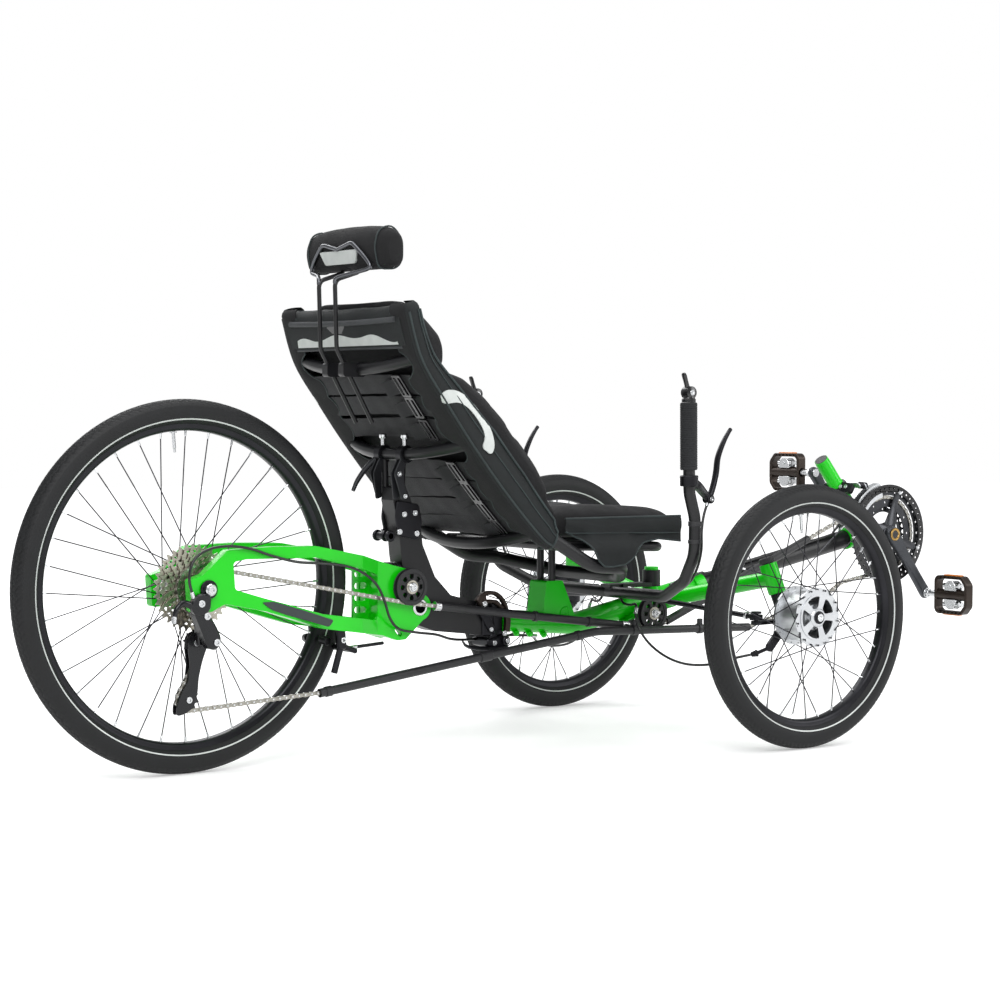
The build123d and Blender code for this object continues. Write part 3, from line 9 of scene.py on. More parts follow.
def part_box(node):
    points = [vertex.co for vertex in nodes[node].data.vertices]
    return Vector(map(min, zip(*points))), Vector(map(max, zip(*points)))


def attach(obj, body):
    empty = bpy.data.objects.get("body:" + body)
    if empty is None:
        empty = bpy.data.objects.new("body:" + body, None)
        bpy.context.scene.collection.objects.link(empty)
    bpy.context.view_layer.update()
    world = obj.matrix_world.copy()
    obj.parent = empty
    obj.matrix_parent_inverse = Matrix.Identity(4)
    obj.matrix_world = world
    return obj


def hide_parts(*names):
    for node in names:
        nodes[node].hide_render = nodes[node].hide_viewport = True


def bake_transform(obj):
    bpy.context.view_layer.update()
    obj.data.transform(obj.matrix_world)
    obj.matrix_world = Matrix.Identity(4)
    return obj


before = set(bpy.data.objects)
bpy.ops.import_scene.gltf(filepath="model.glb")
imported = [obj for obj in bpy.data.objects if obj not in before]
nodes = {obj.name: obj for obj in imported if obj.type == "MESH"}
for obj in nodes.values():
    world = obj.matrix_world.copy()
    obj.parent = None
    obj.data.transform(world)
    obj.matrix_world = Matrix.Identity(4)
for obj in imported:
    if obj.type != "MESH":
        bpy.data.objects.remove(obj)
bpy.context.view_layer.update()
scene = bpy.context.scene
mm = 0.001
tau = 2 * math.pi
print("frame loaded")


def middleOf(node):
    # The middle of a node's box, in millimetres.
    low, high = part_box(node)
    return Vector([(a + b) / 2 / mm for a, b in zip(low, high)])


frontAxle = middleOf("left_tyre")
rearAxle = middleOf("rear_tyre")
# Sizes that several pieces share. A distance is counted back from the front axle.
layout = {
    "halfTrack": 386.0, "frontRadius": 250.0, "rearRadius": 326.5, "rearDistance": 1115, "crankDistance": -555,
    "crankHeight": 376.5, "chainX": -44.65, "returnX": -64.0, "pitch": 12.7,
}


def at(x, distance, z):
    # A place from its distance behind the front axle, all in millimetres.
    return Vector((x, frontAxle.y + distance, z))


def stepX(distance):
    # A step across the trike.
    return Vector((distance, 0, 0))


# Materials

def linear(hexText):
    # sRGB hex to the linear values that shaders take
    values = [int(hexText[i:i + 2], 16) / 255 for i in (1, 3, 5)]
    return [v / 12.92 if v <= 0.04045 else ((v + 0.055) / 1.055) ** 2.4 for v in values] + [1.0]


def addNode(tree, kind, settings=None, links=None):
    # One node with its values, and the sockets that feed it.
    node = tree.nodes.new(kind)
    for key, value in (settings or {}).items():
        if isinstance(key, int) or key in node.inputs:
            node.inputs[key].default_value = value
        else:
            setattr(node, key, value)
    for key, socket in (links or {}).items():
        tree.links.new(socket, node.inputs[key])
    return node


def newMaterial(name, colour, roughness, settings=None):
    # A named material with its shader, ready for colour and bump patterns.
    material = bpy.data.materials.new(name)
    material.use_nodes = True
    tree = material.node_tree
    tree.nodes.clear()
    shader = addNode(tree, "ShaderNodeBsdfPrincipled", {"Base Color": linear(colour), "Roughness": roughness})
    for key, value in (settings or {}).items():
        shader.inputs[key].default_value = value
    addNode(tree, "ShaderNodeOutputMaterial", links={"Surface": shader.outputs[0]})
    place = addNode(tree, "ShaderNodeTexCoord").outputs["Object"]
    material.diffuse_color = linear(colour)
    return material, tree, shader, place


def perMm(size):
    # The scale of a texture whose features are that many millimetres across.
    return 1 / (size * mm)


def coloured(tree, shader, tone, tints, stops):
    # The base colour goes from one tint to the other while the tone rises between the two stops.
    ramp = addNode(tree, "ShaderNodeValToRGB", links={"Fac": tone})
    for element, tint, stop in zip(ramp.color_ramp.elements, tints, stops):
        element.position = stop
        element.color = linear(tint)
    tree.links.new(ramp.outputs["Color"], shader.inputs["Base Color"])


def bumped(tree, shader, height, strength, depth):
    # Relief from a height pattern, its depth in millimetres.
    bump = addNode(tree, "ShaderNodeBump", {"Strength": strength, "Distance": depth * mm}, {"Height": height})
    tree.links.new(bump.outputs["Normal"], shader.inputs["Normal"])


def noise(tree, size, detail, place):
    # Cloudy noise whose features are about that many millimetres across.
    return addNode(tree, "ShaderNodeTexNoise", {"Scale": perMm(size), "Detail": detail},
                   {"Vector": place}).outputs["Fac"]


def grain(name, colour, tint, roughness, grainSize, depth, settings=None, blotch=60, wear=0.06):
    # A coated, moulded or cast surface: fine relief, slow colour change, and a roughness that varies a little.
    material, tree, shader, place = newMaterial(name, colour, roughness, settings)
    fine = noise(tree, grainSize, 3.0, place)
    slow = noise(tree, blotch, 4.0, place)
    coloured(tree, shader, slow, (colour, tint), (0.3, 0.75))
    rough = addNode(tree, "ShaderNodeMapRange", {"To Min": roughness - wear, "To Max": roughness + wear},
                    {"Value": slow})
    tree.links.new(rough.outputs["Result"], shader.inputs["Roughness"])
    bumped(tree, shader, fine, 0.35, depth)
    return material


def machined(name, colour, tint, roughness, lineSize, depth):
    # Bare metal with fine tool marks that run along Y.
    material, tree, shader, place = newMaterial(name, colour, roughness, {"Metallic": 1.0})
    stretched = addNode(tree, "ShaderNodeMapping", {"Scale": (1.0, 0.04, 1.0)}, {"Vector": place})
    marks = noise(tree, lineSize, 4.0, stretched.outputs["Vector"])
    coloured(tree, shader, marks, (colour, tint), (0.35, 0.7))
    bumped(tree, shader, marks, 0.3, depth)
    return material


def woven(name, colour, tint, roughness, threadSize, depth):
    # Woven or knitted cloth: two crossed sets of threads, and a faint unevenness of dye.
    sheen = {"Sheen Weight": 0.25, "Sheen Roughness": 0.5, "Sheen Tint": linear(tint)}
    material, tree, shader, place = newMaterial(name, colour, roughness, sheen)
    waves = {}
    for number, direction in enumerate(("X", "Z")):
        wave = addNode(tree, "ShaderNodeTexWave",
                       {"bands_direction": direction, "Scale": perMm(threadSize) / tau * 2.0, "Distortion": 0.4,
                        "Detail": 1.0, "Detail Scale": 3.0}, {"Vector": place})
        waves[number] = wave.outputs["Fac"]
    threads = addNode(tree, "ShaderNodeMath", {"operation": "MAXIMUM"}, waves).outputs[0]
    both = addNode(tree, "ShaderNodeMath", {"operation": "MULTIPLY"}, {0: threads, 1: noise(tree, 45, 4.0, place)})
    coloured(tree, shader, both.outputs[0], (colour, tint), (0.15, 0.75))
    bumped(tree, shader, threads, 0.5, depth)
    return material


# Powder coat: a thin gloss over a faint orange peel
limePowderCoat = grain("limePowderCoat", "#0FD60A", "#0BC907", 0.3, 1.6, 0.05,
                       {"Coat Weight": 0.2, "Coat Roughness": 0.1, "IOR": 1.4}, blotch=120, wear=0.03)
# Satin powder coat: dry, softer highlights
blackPowderCoat = grain("blackPowderCoat", "#0C0C0E", "#131316", 0.4, 0.9, 0.06, {"IOR": 1.45})
# Anodised and painted aluminium: a thin dark film over metal, with a dull shine
blackAnodised = grain("blackAnodisedAluminium", "#1D1D20", "#29292D", 0.36, 0.6, 0.03, {"Metallic": 0.75})
greyAnodised = grain("greyAnodisedAluminium", "#3A3B3E", "#4A4B4E", 0.34, 0.6, 0.03, {"Metallic": 0.85})
satinGrey = grain("satinGreyAlloy", "#3D3F43", "#484A4E", 0.42, 0.7, 0.03, {"Metallic": 0.7})
satinBlackAlloy = grain("satinBlackAlloy", "#1F2023", "#2A2B2E", 0.45, 0.7, 0.04, {"Metallic": 0.5})
glossBlackAlloy = grain("glossBlackAlloy", "#111215", "#1A1B1E", 0.24, 0.8, 0.03, {"Metallic": 0.3})
brownBlackAlloy = grain("brownBlackAlloy", "#2A221D", "#362C26", 0.38, 0.8, 0.04, {"Metallic": 0.6})
# Vulcanised rubber: matte, with a dusty bloom
tyreRubber = grain("vulcanisedRubber", "#0B0C0D", "#141517", 0.62, 1.2, 0.15, {"IOR": 1.42}, blotch=30)
rubberPatch = grain("rubberPatch", "#26302F", "#313B3A", 0.55, 1.0, 0.08, {"IOR": 1.52})
# Glass-bead tape: pale and flat
beadTape = grain("glassBeadTape", "#C6CBC8", "#D8DCD9", 0.38, 0.8, 0.08, {"IOR": 1.5}, blotch=25)
# Moulded nylon and ABS: fine spark-eroded grain
nylonPlastic = grain("mouldedNylon", "#161618", "#202023", 0.5, 0.5, 0.08, {"IOR": 1.53})
glossPlastic = grain("mouldedAbs", "#101012", "#18181A", 0.24, 0.7, 0.03, {"IOR": 1.54})
amberPlastic = grain("amberAcrylic", "#D9741A", "#F0932B", 0.2, 2.5, 0.2, {"IOR": 1.49}, blotch=12)
# Foam rubber: open dull cells
foamRubber = grain("foamRubber", "#17181A", "#222325", 0.85, 1.1, 0.5, {"IOR": 1.5}, blotch=20)
cableJacket = grain("extrudedPvc", "#0E0E10", "#161618", 0.33, 0.8, 0.03, {"IOR": 1.53})
# Bare metals
castAluminium = grain("tumbledAluminium", "#D0D2D4", "#BFC1C4", 0.38, 0.7, 0.05, {"Metallic": 1.0})
stainlessSteel = machined("stainlessSteel", "#BDBFC1", "#DADBDC", 0.25, 0.4, 0.02)
nickelSteel = machined("nickelPlatedSteel", "#9E9A90", "#C2BDB0", 0.32, 0.5, 0.02)
chainSteel = machined("nickelPlatedChainSteel", "#8F8D86", "#B4B1A8", 0.35, 0.4, 0.02)
satinSteel = machined("satinChromedSteel", "#55565A", "#6E6F73", 0.34, 0.4, 0.02)
blackSteelWire = machined("blackStainlessWire", "#2C2C2F", "#3C3C40", 0.3, 0.3, 0.01)
brassFitting = machined("plainBrass", "#9A7B45", "#B8955A", 0.32, 0.4, 0.02)
# Cloth
seatMesh = woven("polyesterSeatMesh", "#070709", "#131316", 0.9, 1.6, 0.5)
padCloth = woven("spacerKnit", "#070708", "#131316", 0.92, 2.2, 0.6)
sideCloth = woven("corduraNylon", "#070B0C", "#0F1617", 0.8, 1.3, 0.35)
webbing = woven("polyesterWebbing", "#0E0E10", "#222226", 0.75, 1.4, 0.5)
# Piping cord: a real seam cord, but its grey, paler than the cloth, is a painted highlight along the seams
pipingWithPaintedHighlight = woven("pipingTapeWithPaintedHighlight", "#1B2324", "#364242", 0.7, 1.2, 0.3)
# Hem rolls: real folds of the cover, but their pale grey is a painted highlight along the folded edges
hemRollWithPaintedHighlight = woven("foldedHemWithPaintedHighlight", "#2E3032", "#4B4D50", 0.7, 1.5, 0.3)
print("materials made")

# Finishes of the pieces carried over. The other nodes are hidden by the pieces made below.
nodeFinish = {
    "main_frame": limePowderCoat, "swingarm": limePowderCoat, "crank_housing": limePowderCoat,
    "boom": blackPowderCoat, "rear_carrier": blackPowderCoat, "seat_frame": blackPowderCoat,
    "seat_base_frame": blackPowderCoat, "handlebar": blackPowderCoat, "headrest_rods": blackPowderCoat,
    "swing_axle": blackAnodised, "front_bracket": blackAnodised, "park_brake": blackAnodised,
    "left_knuckle": blackAnodised, "right_knuckle": blackAnodised, "left_tie_rod": blackAnodised,
    "right_tie_rod": blackAnodised, "rear_axle": stainlessSteel, "rear_hub": castAluminium,
    "power_tube": nylonPlastic, "front_tube": nylonPlastic, "return_tube": nylonPlastic,
}
for name, node in nodes.items():
    node.data.materials.clear()
    node.data.materials.append(nodeFinish.get(name, cableJacket))
print("nodes finished")

# Camera, lights and stage

camera = bpy.data.objects.new("camera", bpy.data.cameras.new("camera"))
scene.collection.objects.link(camera)
cameraView = {"place": (-3615.0, 2711.1, 630.4), "yaw": 0.9363, "pitch": 0.0368, "roll": 0.0048, "lens": 84.73}
yaw, pitch, roll = cameraView["yaw"], cameraView["pitch"], cameraView["roll"]
ahead = Vector((math.sin(yaw) * math.cos(pitch), -math.cos(yaw) * math.cos(pitch), -math.sin(pitch)))
across = ahead.cross(Vector((0, 0, 1))).normalized()
upward = across.cross(ahead)
tiltedAcross = across * math.cos(roll) + upward * math.sin(roll)
tiltedUp = upward * math.cos(roll) - across * math.sin(roll)
turn = Matrix((tiltedAcross, tiltedUp, -ahead)).transposed()
camera.matrix_world = Matrix.Translation(Vector(cameraView["place"]) * mm) @ turn.to_4x4()
camera.data.lens = cameraView["lens"]
camera.data.sensor_width = 36.0
camera.data.clip_start = 0.05
camera.data.clip_end = 60.0
scene.camera = camera

lamps = {
    "keyLamp": {"place": (-2.6, 1.9, 2.9), "size": 2.4, "power": 95.0},
    "fillLamp": {"place": (-2.2, -2.6, 1.9), "size": 2.2, "power": 48.0},
    "backLamp": {"place": (2.9, -0.4, 2.6), "size": 2.4, "power": 60.0},
    "topLamp": {"place": (0.0, 0.2, 3.6), "size": 3.0, "power": 62.0},
}
for name, values in lamps.items():
    lamp = bpy.data.lights.new(name, "AREA")
    lamp.shape = "DISK"
    lamp.size = values["size"]
    lamp.energy = values["power"]
    holder = bpy.data.objects.new(name, lamp)
    scene.collection.objects.link(holder)
    holder.location = values["place"]
    holder.rotation_euler = (Vector((0, 0, 0.45)) - holder.location).to_track_quat("-Z", "Y").to_euler()

world = bpy.data.worlds.new("studio")
scene.world = world
world.use_nodes = True
worldTree = world.node_tree
worldTree.nodes.clear()
rays = addNode(worldTree, "ShaderNodeLightPath")
seen = addNode(worldTree, "ShaderNodeMath", {"operation": "MAXIMUM"},
               {0: rays.outputs["Is Camera Ray"], 1: rays.outputs["Is Transmission Ray"]})
ambient = addNode(worldTree, "ShaderNodeBackground", {"Color": linear("#F4F6F8"), "Strength": 0.34})
glossy = addNode(worldTree, "ShaderNodeBackground", {"Color": linear("#F4F6F8"), "Strength": 0.5})
white = addNode(worldTree, "ShaderNodeBackground", {"Color": (1, 1, 1, 1), "Strength": 1.0})
mirrored = addNode(worldTree, "ShaderNodeMixShader",
                   links={0: rays.outputs["Is Glossy Ray"], 1: ambient.outputs[0], 2: glossy.outputs[0]})
shown = addNode(worldTree, "ShaderNodeMixShader",
                links={0: seen.outputs[0], 1: mirrored.outputs[0], 2: white.outputs[0]})
addNode(worldTree, "ShaderNodeOutputWorld", links={"Surface": shown.outputs[0]})

# The floor is white paper: its own white is added for the rays that see it, and the shadow stays.
floorMaterial, floorTree, floorShader = newMaterial("paperFloor", "#E8E8E8", 0.9)[:3]
floorRays = addNode(floorTree, "ShaderNodeLightPath")
floorSeen = addNode(floorTree, "ShaderNodeMath", {"operation": "MAXIMUM"},
                    {0: floorRays.outputs["Is Camera Ray"], 1: floorRays.outputs["Is Glossy Ray"]})
floorSpot = addNode(floorTree, "ShaderNodeNewGeometry")
floorAway = addNode(floorTree, "ShaderNodeVectorMath", {"operation": "LENGTH"}, {0: floorSpot.outputs["Position"]})
floorRise = addNode(floorTree, "ShaderNodeMapRange", {"From Min": 1.1, "From Max": 3.4, "To Min": 0.36, "To Max": 1.0},
                    {"Value": floorAway.outputs["Value"]})
floorWhite = addNode(floorTree, "ShaderNodeMath", {"operation": "MULTIPLY"},
                     {0: floorSeen.outputs[0], 1: floorRise.outputs["Result"]})
floorShader.inputs["Emission Color"].default_value = (1, 1, 1, 1)
floorTree.links.new(floorWhite.outputs[0], floorShader.inputs["Emission Strength"])
floorMesh = bpy.data.meshes.new("floor")
reach = 14.0
floorMesh.from_pydata([(-reach, -reach, 0), (reach, -reach, 0), (reach, reach, 0), (-reach, reach, 0)], [],
                      [(0, 1, 2, 3)])
floor = bpy.data.objects.new("floor", floorMesh)
scene.collection.objects.link(floor)
floorMesh.materials.append(floorMaterial)
scene.view_settings.view_transform = "Standard"
print("stage set")

# Shapes: points and faces gathered in millimetres, then placed as one piece

def newShape():
    return {"points": [], "faces": []}


def acrossOf(direction):
    # Two unit vectors across a direction.
    direction = direction.normalized()
    guess = Vector((0, 0, 1)) if abs(direction.z) < 0.9 else Vector((1, 0, 0))
    first = direction.cross(guess).normalized()
    return first, direction.cross(first)


def addLoops(shape, loops, closed=False):
    # Skins a row of equal loops, and closes its ends or joins the last loop to the first.
    start = len(shape["points"])
    size = len(loops[0])
    for loop in loops:
        shape["points"] += [Vector(p) for p in loop]
    count = len(loops)
    for i in range(count if closed else count - 1):
        for j in range(size):
            a = start + i * size + j
            b = start + i * size + (j + 1) % size
            c = start + ((i + 1) % count) * size + (j + 1) % size
            d = start + ((i + 1) % count) * size + j
            shape["faces"].append((a, b, c, d))
    if not closed:
        shape["faces"].append(tuple(start + j for j in reversed(range(size))))
        shape["faces"].append(tuple(start + (count - 1) * size + j for j in range(size)))


def addTube(shape, points, radius, steps=12, closed=False):
    # A round bar or wire along points. The radius may be one value or one for each point.
    points = [Vector(p) for p in points]
    count = len(points)
    radii = radius if isinstance(radius, (list, tuple)) else [radius] * count
    loops = []
    side = None
    for i, point in enumerate(points):
        before = points[i - 1] if closed or i > 0 else points[i]
        after = points[(i + 1) % count] if closed or i < count - 1 else points[i]
        direction = (after - before).normalized()
        if side is None:
            side = acrossOf(direction)[0]
        side = (side - direction * side.dot(direction)).normalized()
        other = direction.cross(side)
        loops.append([point + (side * math.cos(tau * k / steps) + other * math.sin(tau * k / steps)) * radii[i]
                      for k in range(steps)])
    addLoops(shape, loops, closed)


def addRod(shape, start, end, radius, steps=16, edge=0.6):
    # A turned bar with a small chamfer at both ends.
    start, end = Vector(start), Vector(end)
    run = (end - start).normalized()
    edge = min(edge, radius * 0.4, (end - start).length * 0.3)
    addTube(shape, [start, start + run * edge, end - run * edge, end],
            [radius - edge, radius, radius, radius - edge], steps)


def addLathe(shape, centre, profile, axis=(1, 0, 0), steps=64):
    # A closed profile of (along, radius) turned about an axis through a centre.
    centre, axis = Vector(centre), Vector(axis).normalized()
    first, second = acrossOf(axis)
    start = len(shape["points"])
    size = len(profile)
    for i in range(steps):
        way = first * math.cos(tau * i / steps) + second * math.sin(tau * i / steps)
        shape["points"] += [centre + axis * along + way * reach for along, reach in profile]
    for i in range(steps):
        for j in range(size):
            k = (j + 1) % size
            a, b = start + i * size + j, start + i * size + k
            n = start + ((i + 1) % steps) * size
            shape["faces"].append((a, b, n + k, n + j))


def addPlate(shape, loops, low, high, place, edge=0.0):
    # A flat plate: an outline and its holes, from low to high along the plate's normal.
    # place(u, v, w) turns plate places into object places.
    levels = [low, high] if edge == 0 else [low, low + edge, high - edge, high]
    start = len(shape["points"])
    for number, loop in enumerate(loops):
        for level in levels:
            shrink = edge if edge > 0 and level in (low, high) else 0.0
            ring = loop if shrink == 0 else shrunk(loop, shrink if number == 0 else -shrink)
            shape["points"] += [place(u, v, level) for u, v in ring]
    base = start
    caps = []
    for loop in loops:
        size = len(loop)
        for i in range(len(levels) - 1):
            for j in range(size):
                k = (j + 1) % size
                shape["faces"].append((base + i * size + j, base + i * size + k,
                                       base + (i + 1) * size + k, base + (i + 1) * size + j))
        caps.append((base, base + (len(levels) - 1) * size, size))
        base += size * len(levels)
    flat = [[Vector((u, v, 0)) for u, v in loop] for loop in loops]
    for triangle in tessellate_polygon(flat):
        for layer in (0, 1):
            corners = []
            for index in triangle:
                for lowStart, highStart, size in caps:
                    if index < size:
                        corners.append((lowStart, highStart)[layer] + index)
                        break
                    index -= size
            shape["faces"].append(tuple(corners) if layer else tuple(reversed(corners)))


def shrunk(loop, amount):
    # A closed outline moved inwards by an amount, whichever way round it runs.
    area = sum(loop[i - 1][0] * loop[i][1] - loop[i][0] * loop[i - 1][1] for i in range(len(loop)))
    sign = 1 if area > 0 else -1
    moved = []
    for i, (u, v) in enumerate(loop):
        before, after = loop[i - 1], loop[(i + 1) % len(loop)]
        du, dv = after[0] - before[0], after[1] - before[1]
        length = math.hypot(du, dv) or 1.0
        moved.append((u - sign * dv / length * amount, v + sign * du / length * amount))
    return moved


def circle(centreU, centreV, radius, steps=24):
    turns = [tau * i / steps for i in range(steps)]
    return [(centreU + radius * math.cos(a), centreV + radius * math.sin(a)) for a in turns]


def rounded(corners, radius, steps=5):
    # A closed outline whose corners are arcs. The radius may be one value or one for each corner.
    outline = []
    count = len(corners)
    for i, corner in enumerate(corners):
        reach = radius[i] if isinstance(radius, (list, tuple)) else radius
        here = Vector(corner)
        toBefore = Vector(corners[i - 1]) - here
        toAfter = Vector(corners[(i + 1) % count]) - here
        cut = min(reach, toBefore.length * 0.48, toAfter.length * 0.48)
        start, end = here + toBefore.normalized() * cut, here + toAfter.normalized() * cut
        for k in range(steps + 1):
            t = k / steps
            point = start * (1 - t) ** 2 + here * (2 * t * (1 - t)) + end * t ** 2
            outline.append((point.x, point.y))
    return outline


def curvedLine(points, count=8):
    # A smooth line through points, with that many steps between each two.
    points = [Vector(p) for p in points]
    line = []
    for i in range(len(points) - 1):
        p0, p1 = points[max(i - 1, 0)], points[i]
        p2, p3 = points[i + 1], points[min(i + 2, len(points) - 1)]
        for k in range(count):
            t = k / count
            line.append(0.5 * ((2 * p1) + (p2 - p0) * t + (2 * p0 - 5 * p1 + 4 * p2 - p3) * t * t
                               + (3 * p1 - p0 - 3 * p2 + p3) * t ** 3))
    line.append(points[-1])
    return line


def sidePlace(u, v, w):
    # A plate seen from the side: u behind the front axle, v up, w across.
    return at(w, u, v)


def addSidePlate(shape, corners, radius, steps, low, high, edge=0.0):
    # A plate seen from the side, with rounded corners.
    addPlate(shape, [rounded(corners, radius, steps)], low, high, sidePlace, edge)


def addPin(shape, distance, z, start, end, radius, steps=16, edge=0.6):
    # A turned bar that lies across the trike, from one side place to another.
    addRod(shape, at(start, distance, z), at(end, distance, z), radius, steps, edge)


def bothEnds(profile):
    # A turned profile with two like ends, given as its low half.
    return profile + [(-along, reach) for along, reach in reversed(profile)]


def holeRing(radius, holeRadius, count):
    # Small holes set round a circle.
    turns = [tau * k / count for k in range(count)]
    return [circle(radius * math.cos(a), radius * math.sin(a), holeRadius, 10) for a in turns]


def ovalLoop(spot, over, half, thick, steps=12):
    # A loop that is round across the trike and along the direction over.
    turns = [tau * k / steps for k in range(steps)]
    return [spot + stepX(half * math.cos(a)) + over * (thick * math.sin(a)) for a in turns]


def facing(centre, normal, up=(0, 0, 1)):
    # A place function for a plate with its own centre and normal.
    centre, normal = Vector(centre), Vector(normal).normalized()
    right = Vector(up).cross(normal).normalized()
    over = normal.cross(right)
    return lambda u, v, w: centre + right * u + over * v + normal * w


def addBolt(shape, centre, normal, radius=4.0, height=4.0, hexSize=0.0):
    # A cap-head bolt with a hexagon recess, or a nut where hexSize is given.
    place = facing(centre, normal, (0.3, 0.1, 1))
    outline = circle(0, 0, hexSize or radius, 6 if hexSize else 20)
    if hexSize:
        addPlate(shape, [outline], 0, height, place, 0.4)
    else:
        addPlate(shape, [outline, circle(0, 0, radius * 0.5, 6)], 0, height, place, 0.3)
        addPlate(shape, [circle(0, 0, radius * 0.52, 6)], 0, height * 0.35, place)


def placeShape(shape, name, material, body, replaced=(), sharp=35, smoothing=0):
    # Makes the gathered shape one mesh piece that rides on a body.
    mesh = bpy.data.meshes.new(name)
    mesh.from_pydata([p * mm for p in shape["points"]], [], shape["faces"])
    mesh.validate()
    work = bmesh.new()
    work.from_mesh(mesh)
    bmesh.ops.recalc_face_normals(work, faces=work.faces)
    work.to_mesh(mesh)
    work.free()
    mesh.polygons.foreach_set("use_smooth", [True] * len(mesh.polygons))
    mesh.set_sharp_from_angle(angle=math.radians(sharp))
    mesh.materials.append(material)
    piece = bpy.data.objects.new(name, mesh)
    scene.collection.objects.link(piece)
    if smoothing:
        soft = piece.modifiers.new("soft", "SUBSURF")
        soft.levels = soft.render_levels = smoothing
    if body:
        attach(piece, body)
    if replaced:
        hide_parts(*replaced)
    return piece


# Edges of the carried-over pieces are eased, as a weld grinder or a tumbler leaves them.
easing = {"weldDistance": 0.02, "steps": 3, "sharpAngle": 40}
easedEdges = {
    "main_frame": 1.6, "swingarm": 3.0, "crank_housing": 1.0, "rear_carrier": 4.0, "swing_axle": 1.2,
    "left_knuckle": 0.8, "right_knuckle": 0.8, "left_tie_rod": 0.6, "right_tie_rod": 0.6, "park_brake": 0.8,
    "headrest_rods": 0.8,
}
for name, width in easedEdges.items():
    weld = nodes[name].modifiers.new("weld", "WELD")
    weld.merge_threshold = easing["weldDistance"] * mm
    ease = nodes[name].modifiers.new("ease", "BEVEL")
    ease.width = width * mm
    ease.segments = easing["steps"]
    ease.limit_method = "ANGLE"
    ease.angle_limit = math.radians(easing["sharpAngle"])
    ease.harden_normals = False

# Wheels

wheelSizes = {
    "section": 23.5, "beadHalf": 13.6, "beadHeight": 41.5, "rimWidth": 25.0, "rimDepth": 13.5, "spokeCount": 36,
    "spokeRadius": 1.05, "spokeTurn": 60, "treadDepth": 1.3, "blockLength": 21.0, "blockSteps": 9,
    "stripeLow": 116, "stripeHigh": 122,
}
# centre, radius, body, and each flange's offset with the radius of its spoke holes
wheelPlaces = {
    "rear": (Vector((0, rearAxle.y, layout["rearRadius"])), layout["rearRadius"], "rear_wheel", (-20.2, 27.5),
             (33.2, 27.5)),
    "left": (at(layout["halfTrack"], 0, layout["frontRadius"]), layout["frontRadius"], "left_wheel", (-30.2, 52.5),
             (30.2, 52.5)),
    "right": (at(-layout["halfTrack"], 0, layout["frontRadius"]), layout["frontRadius"], "right_wheel", (-30.2, 52.5),
              (30.2, 52.5)),
}


def treadHeight(along, turn):
    # How deep the tread lies below the crown, at a place along the tread and an angle round the section.
    off = abs(turn)
    depth = 0.0
    wave = 2.2 * math.sin(tau * along + (0 if turn > 0 else math.pi))
    if abs(off - 10 - wave) < 2.3 or abs(off - 31 - wave * 1.3) < 2.3:
        depth = 1.0
    skew = (along + off * 0.018 + (0.5 if turn < 0 else 0)) % 1.0
    if 33 < off < 58 and (skew < 0.13 or 0.5 < skew < 0.6):
        depth = 1.0 if skew < 0.13 else 0.6
    fine = (along * 2 - off * 0.02) % 1.0
    if 12 < off < 29 and fine < 0.16:
        depth = 0.55
    if off > 62:
        depth = 0.35
    return depth


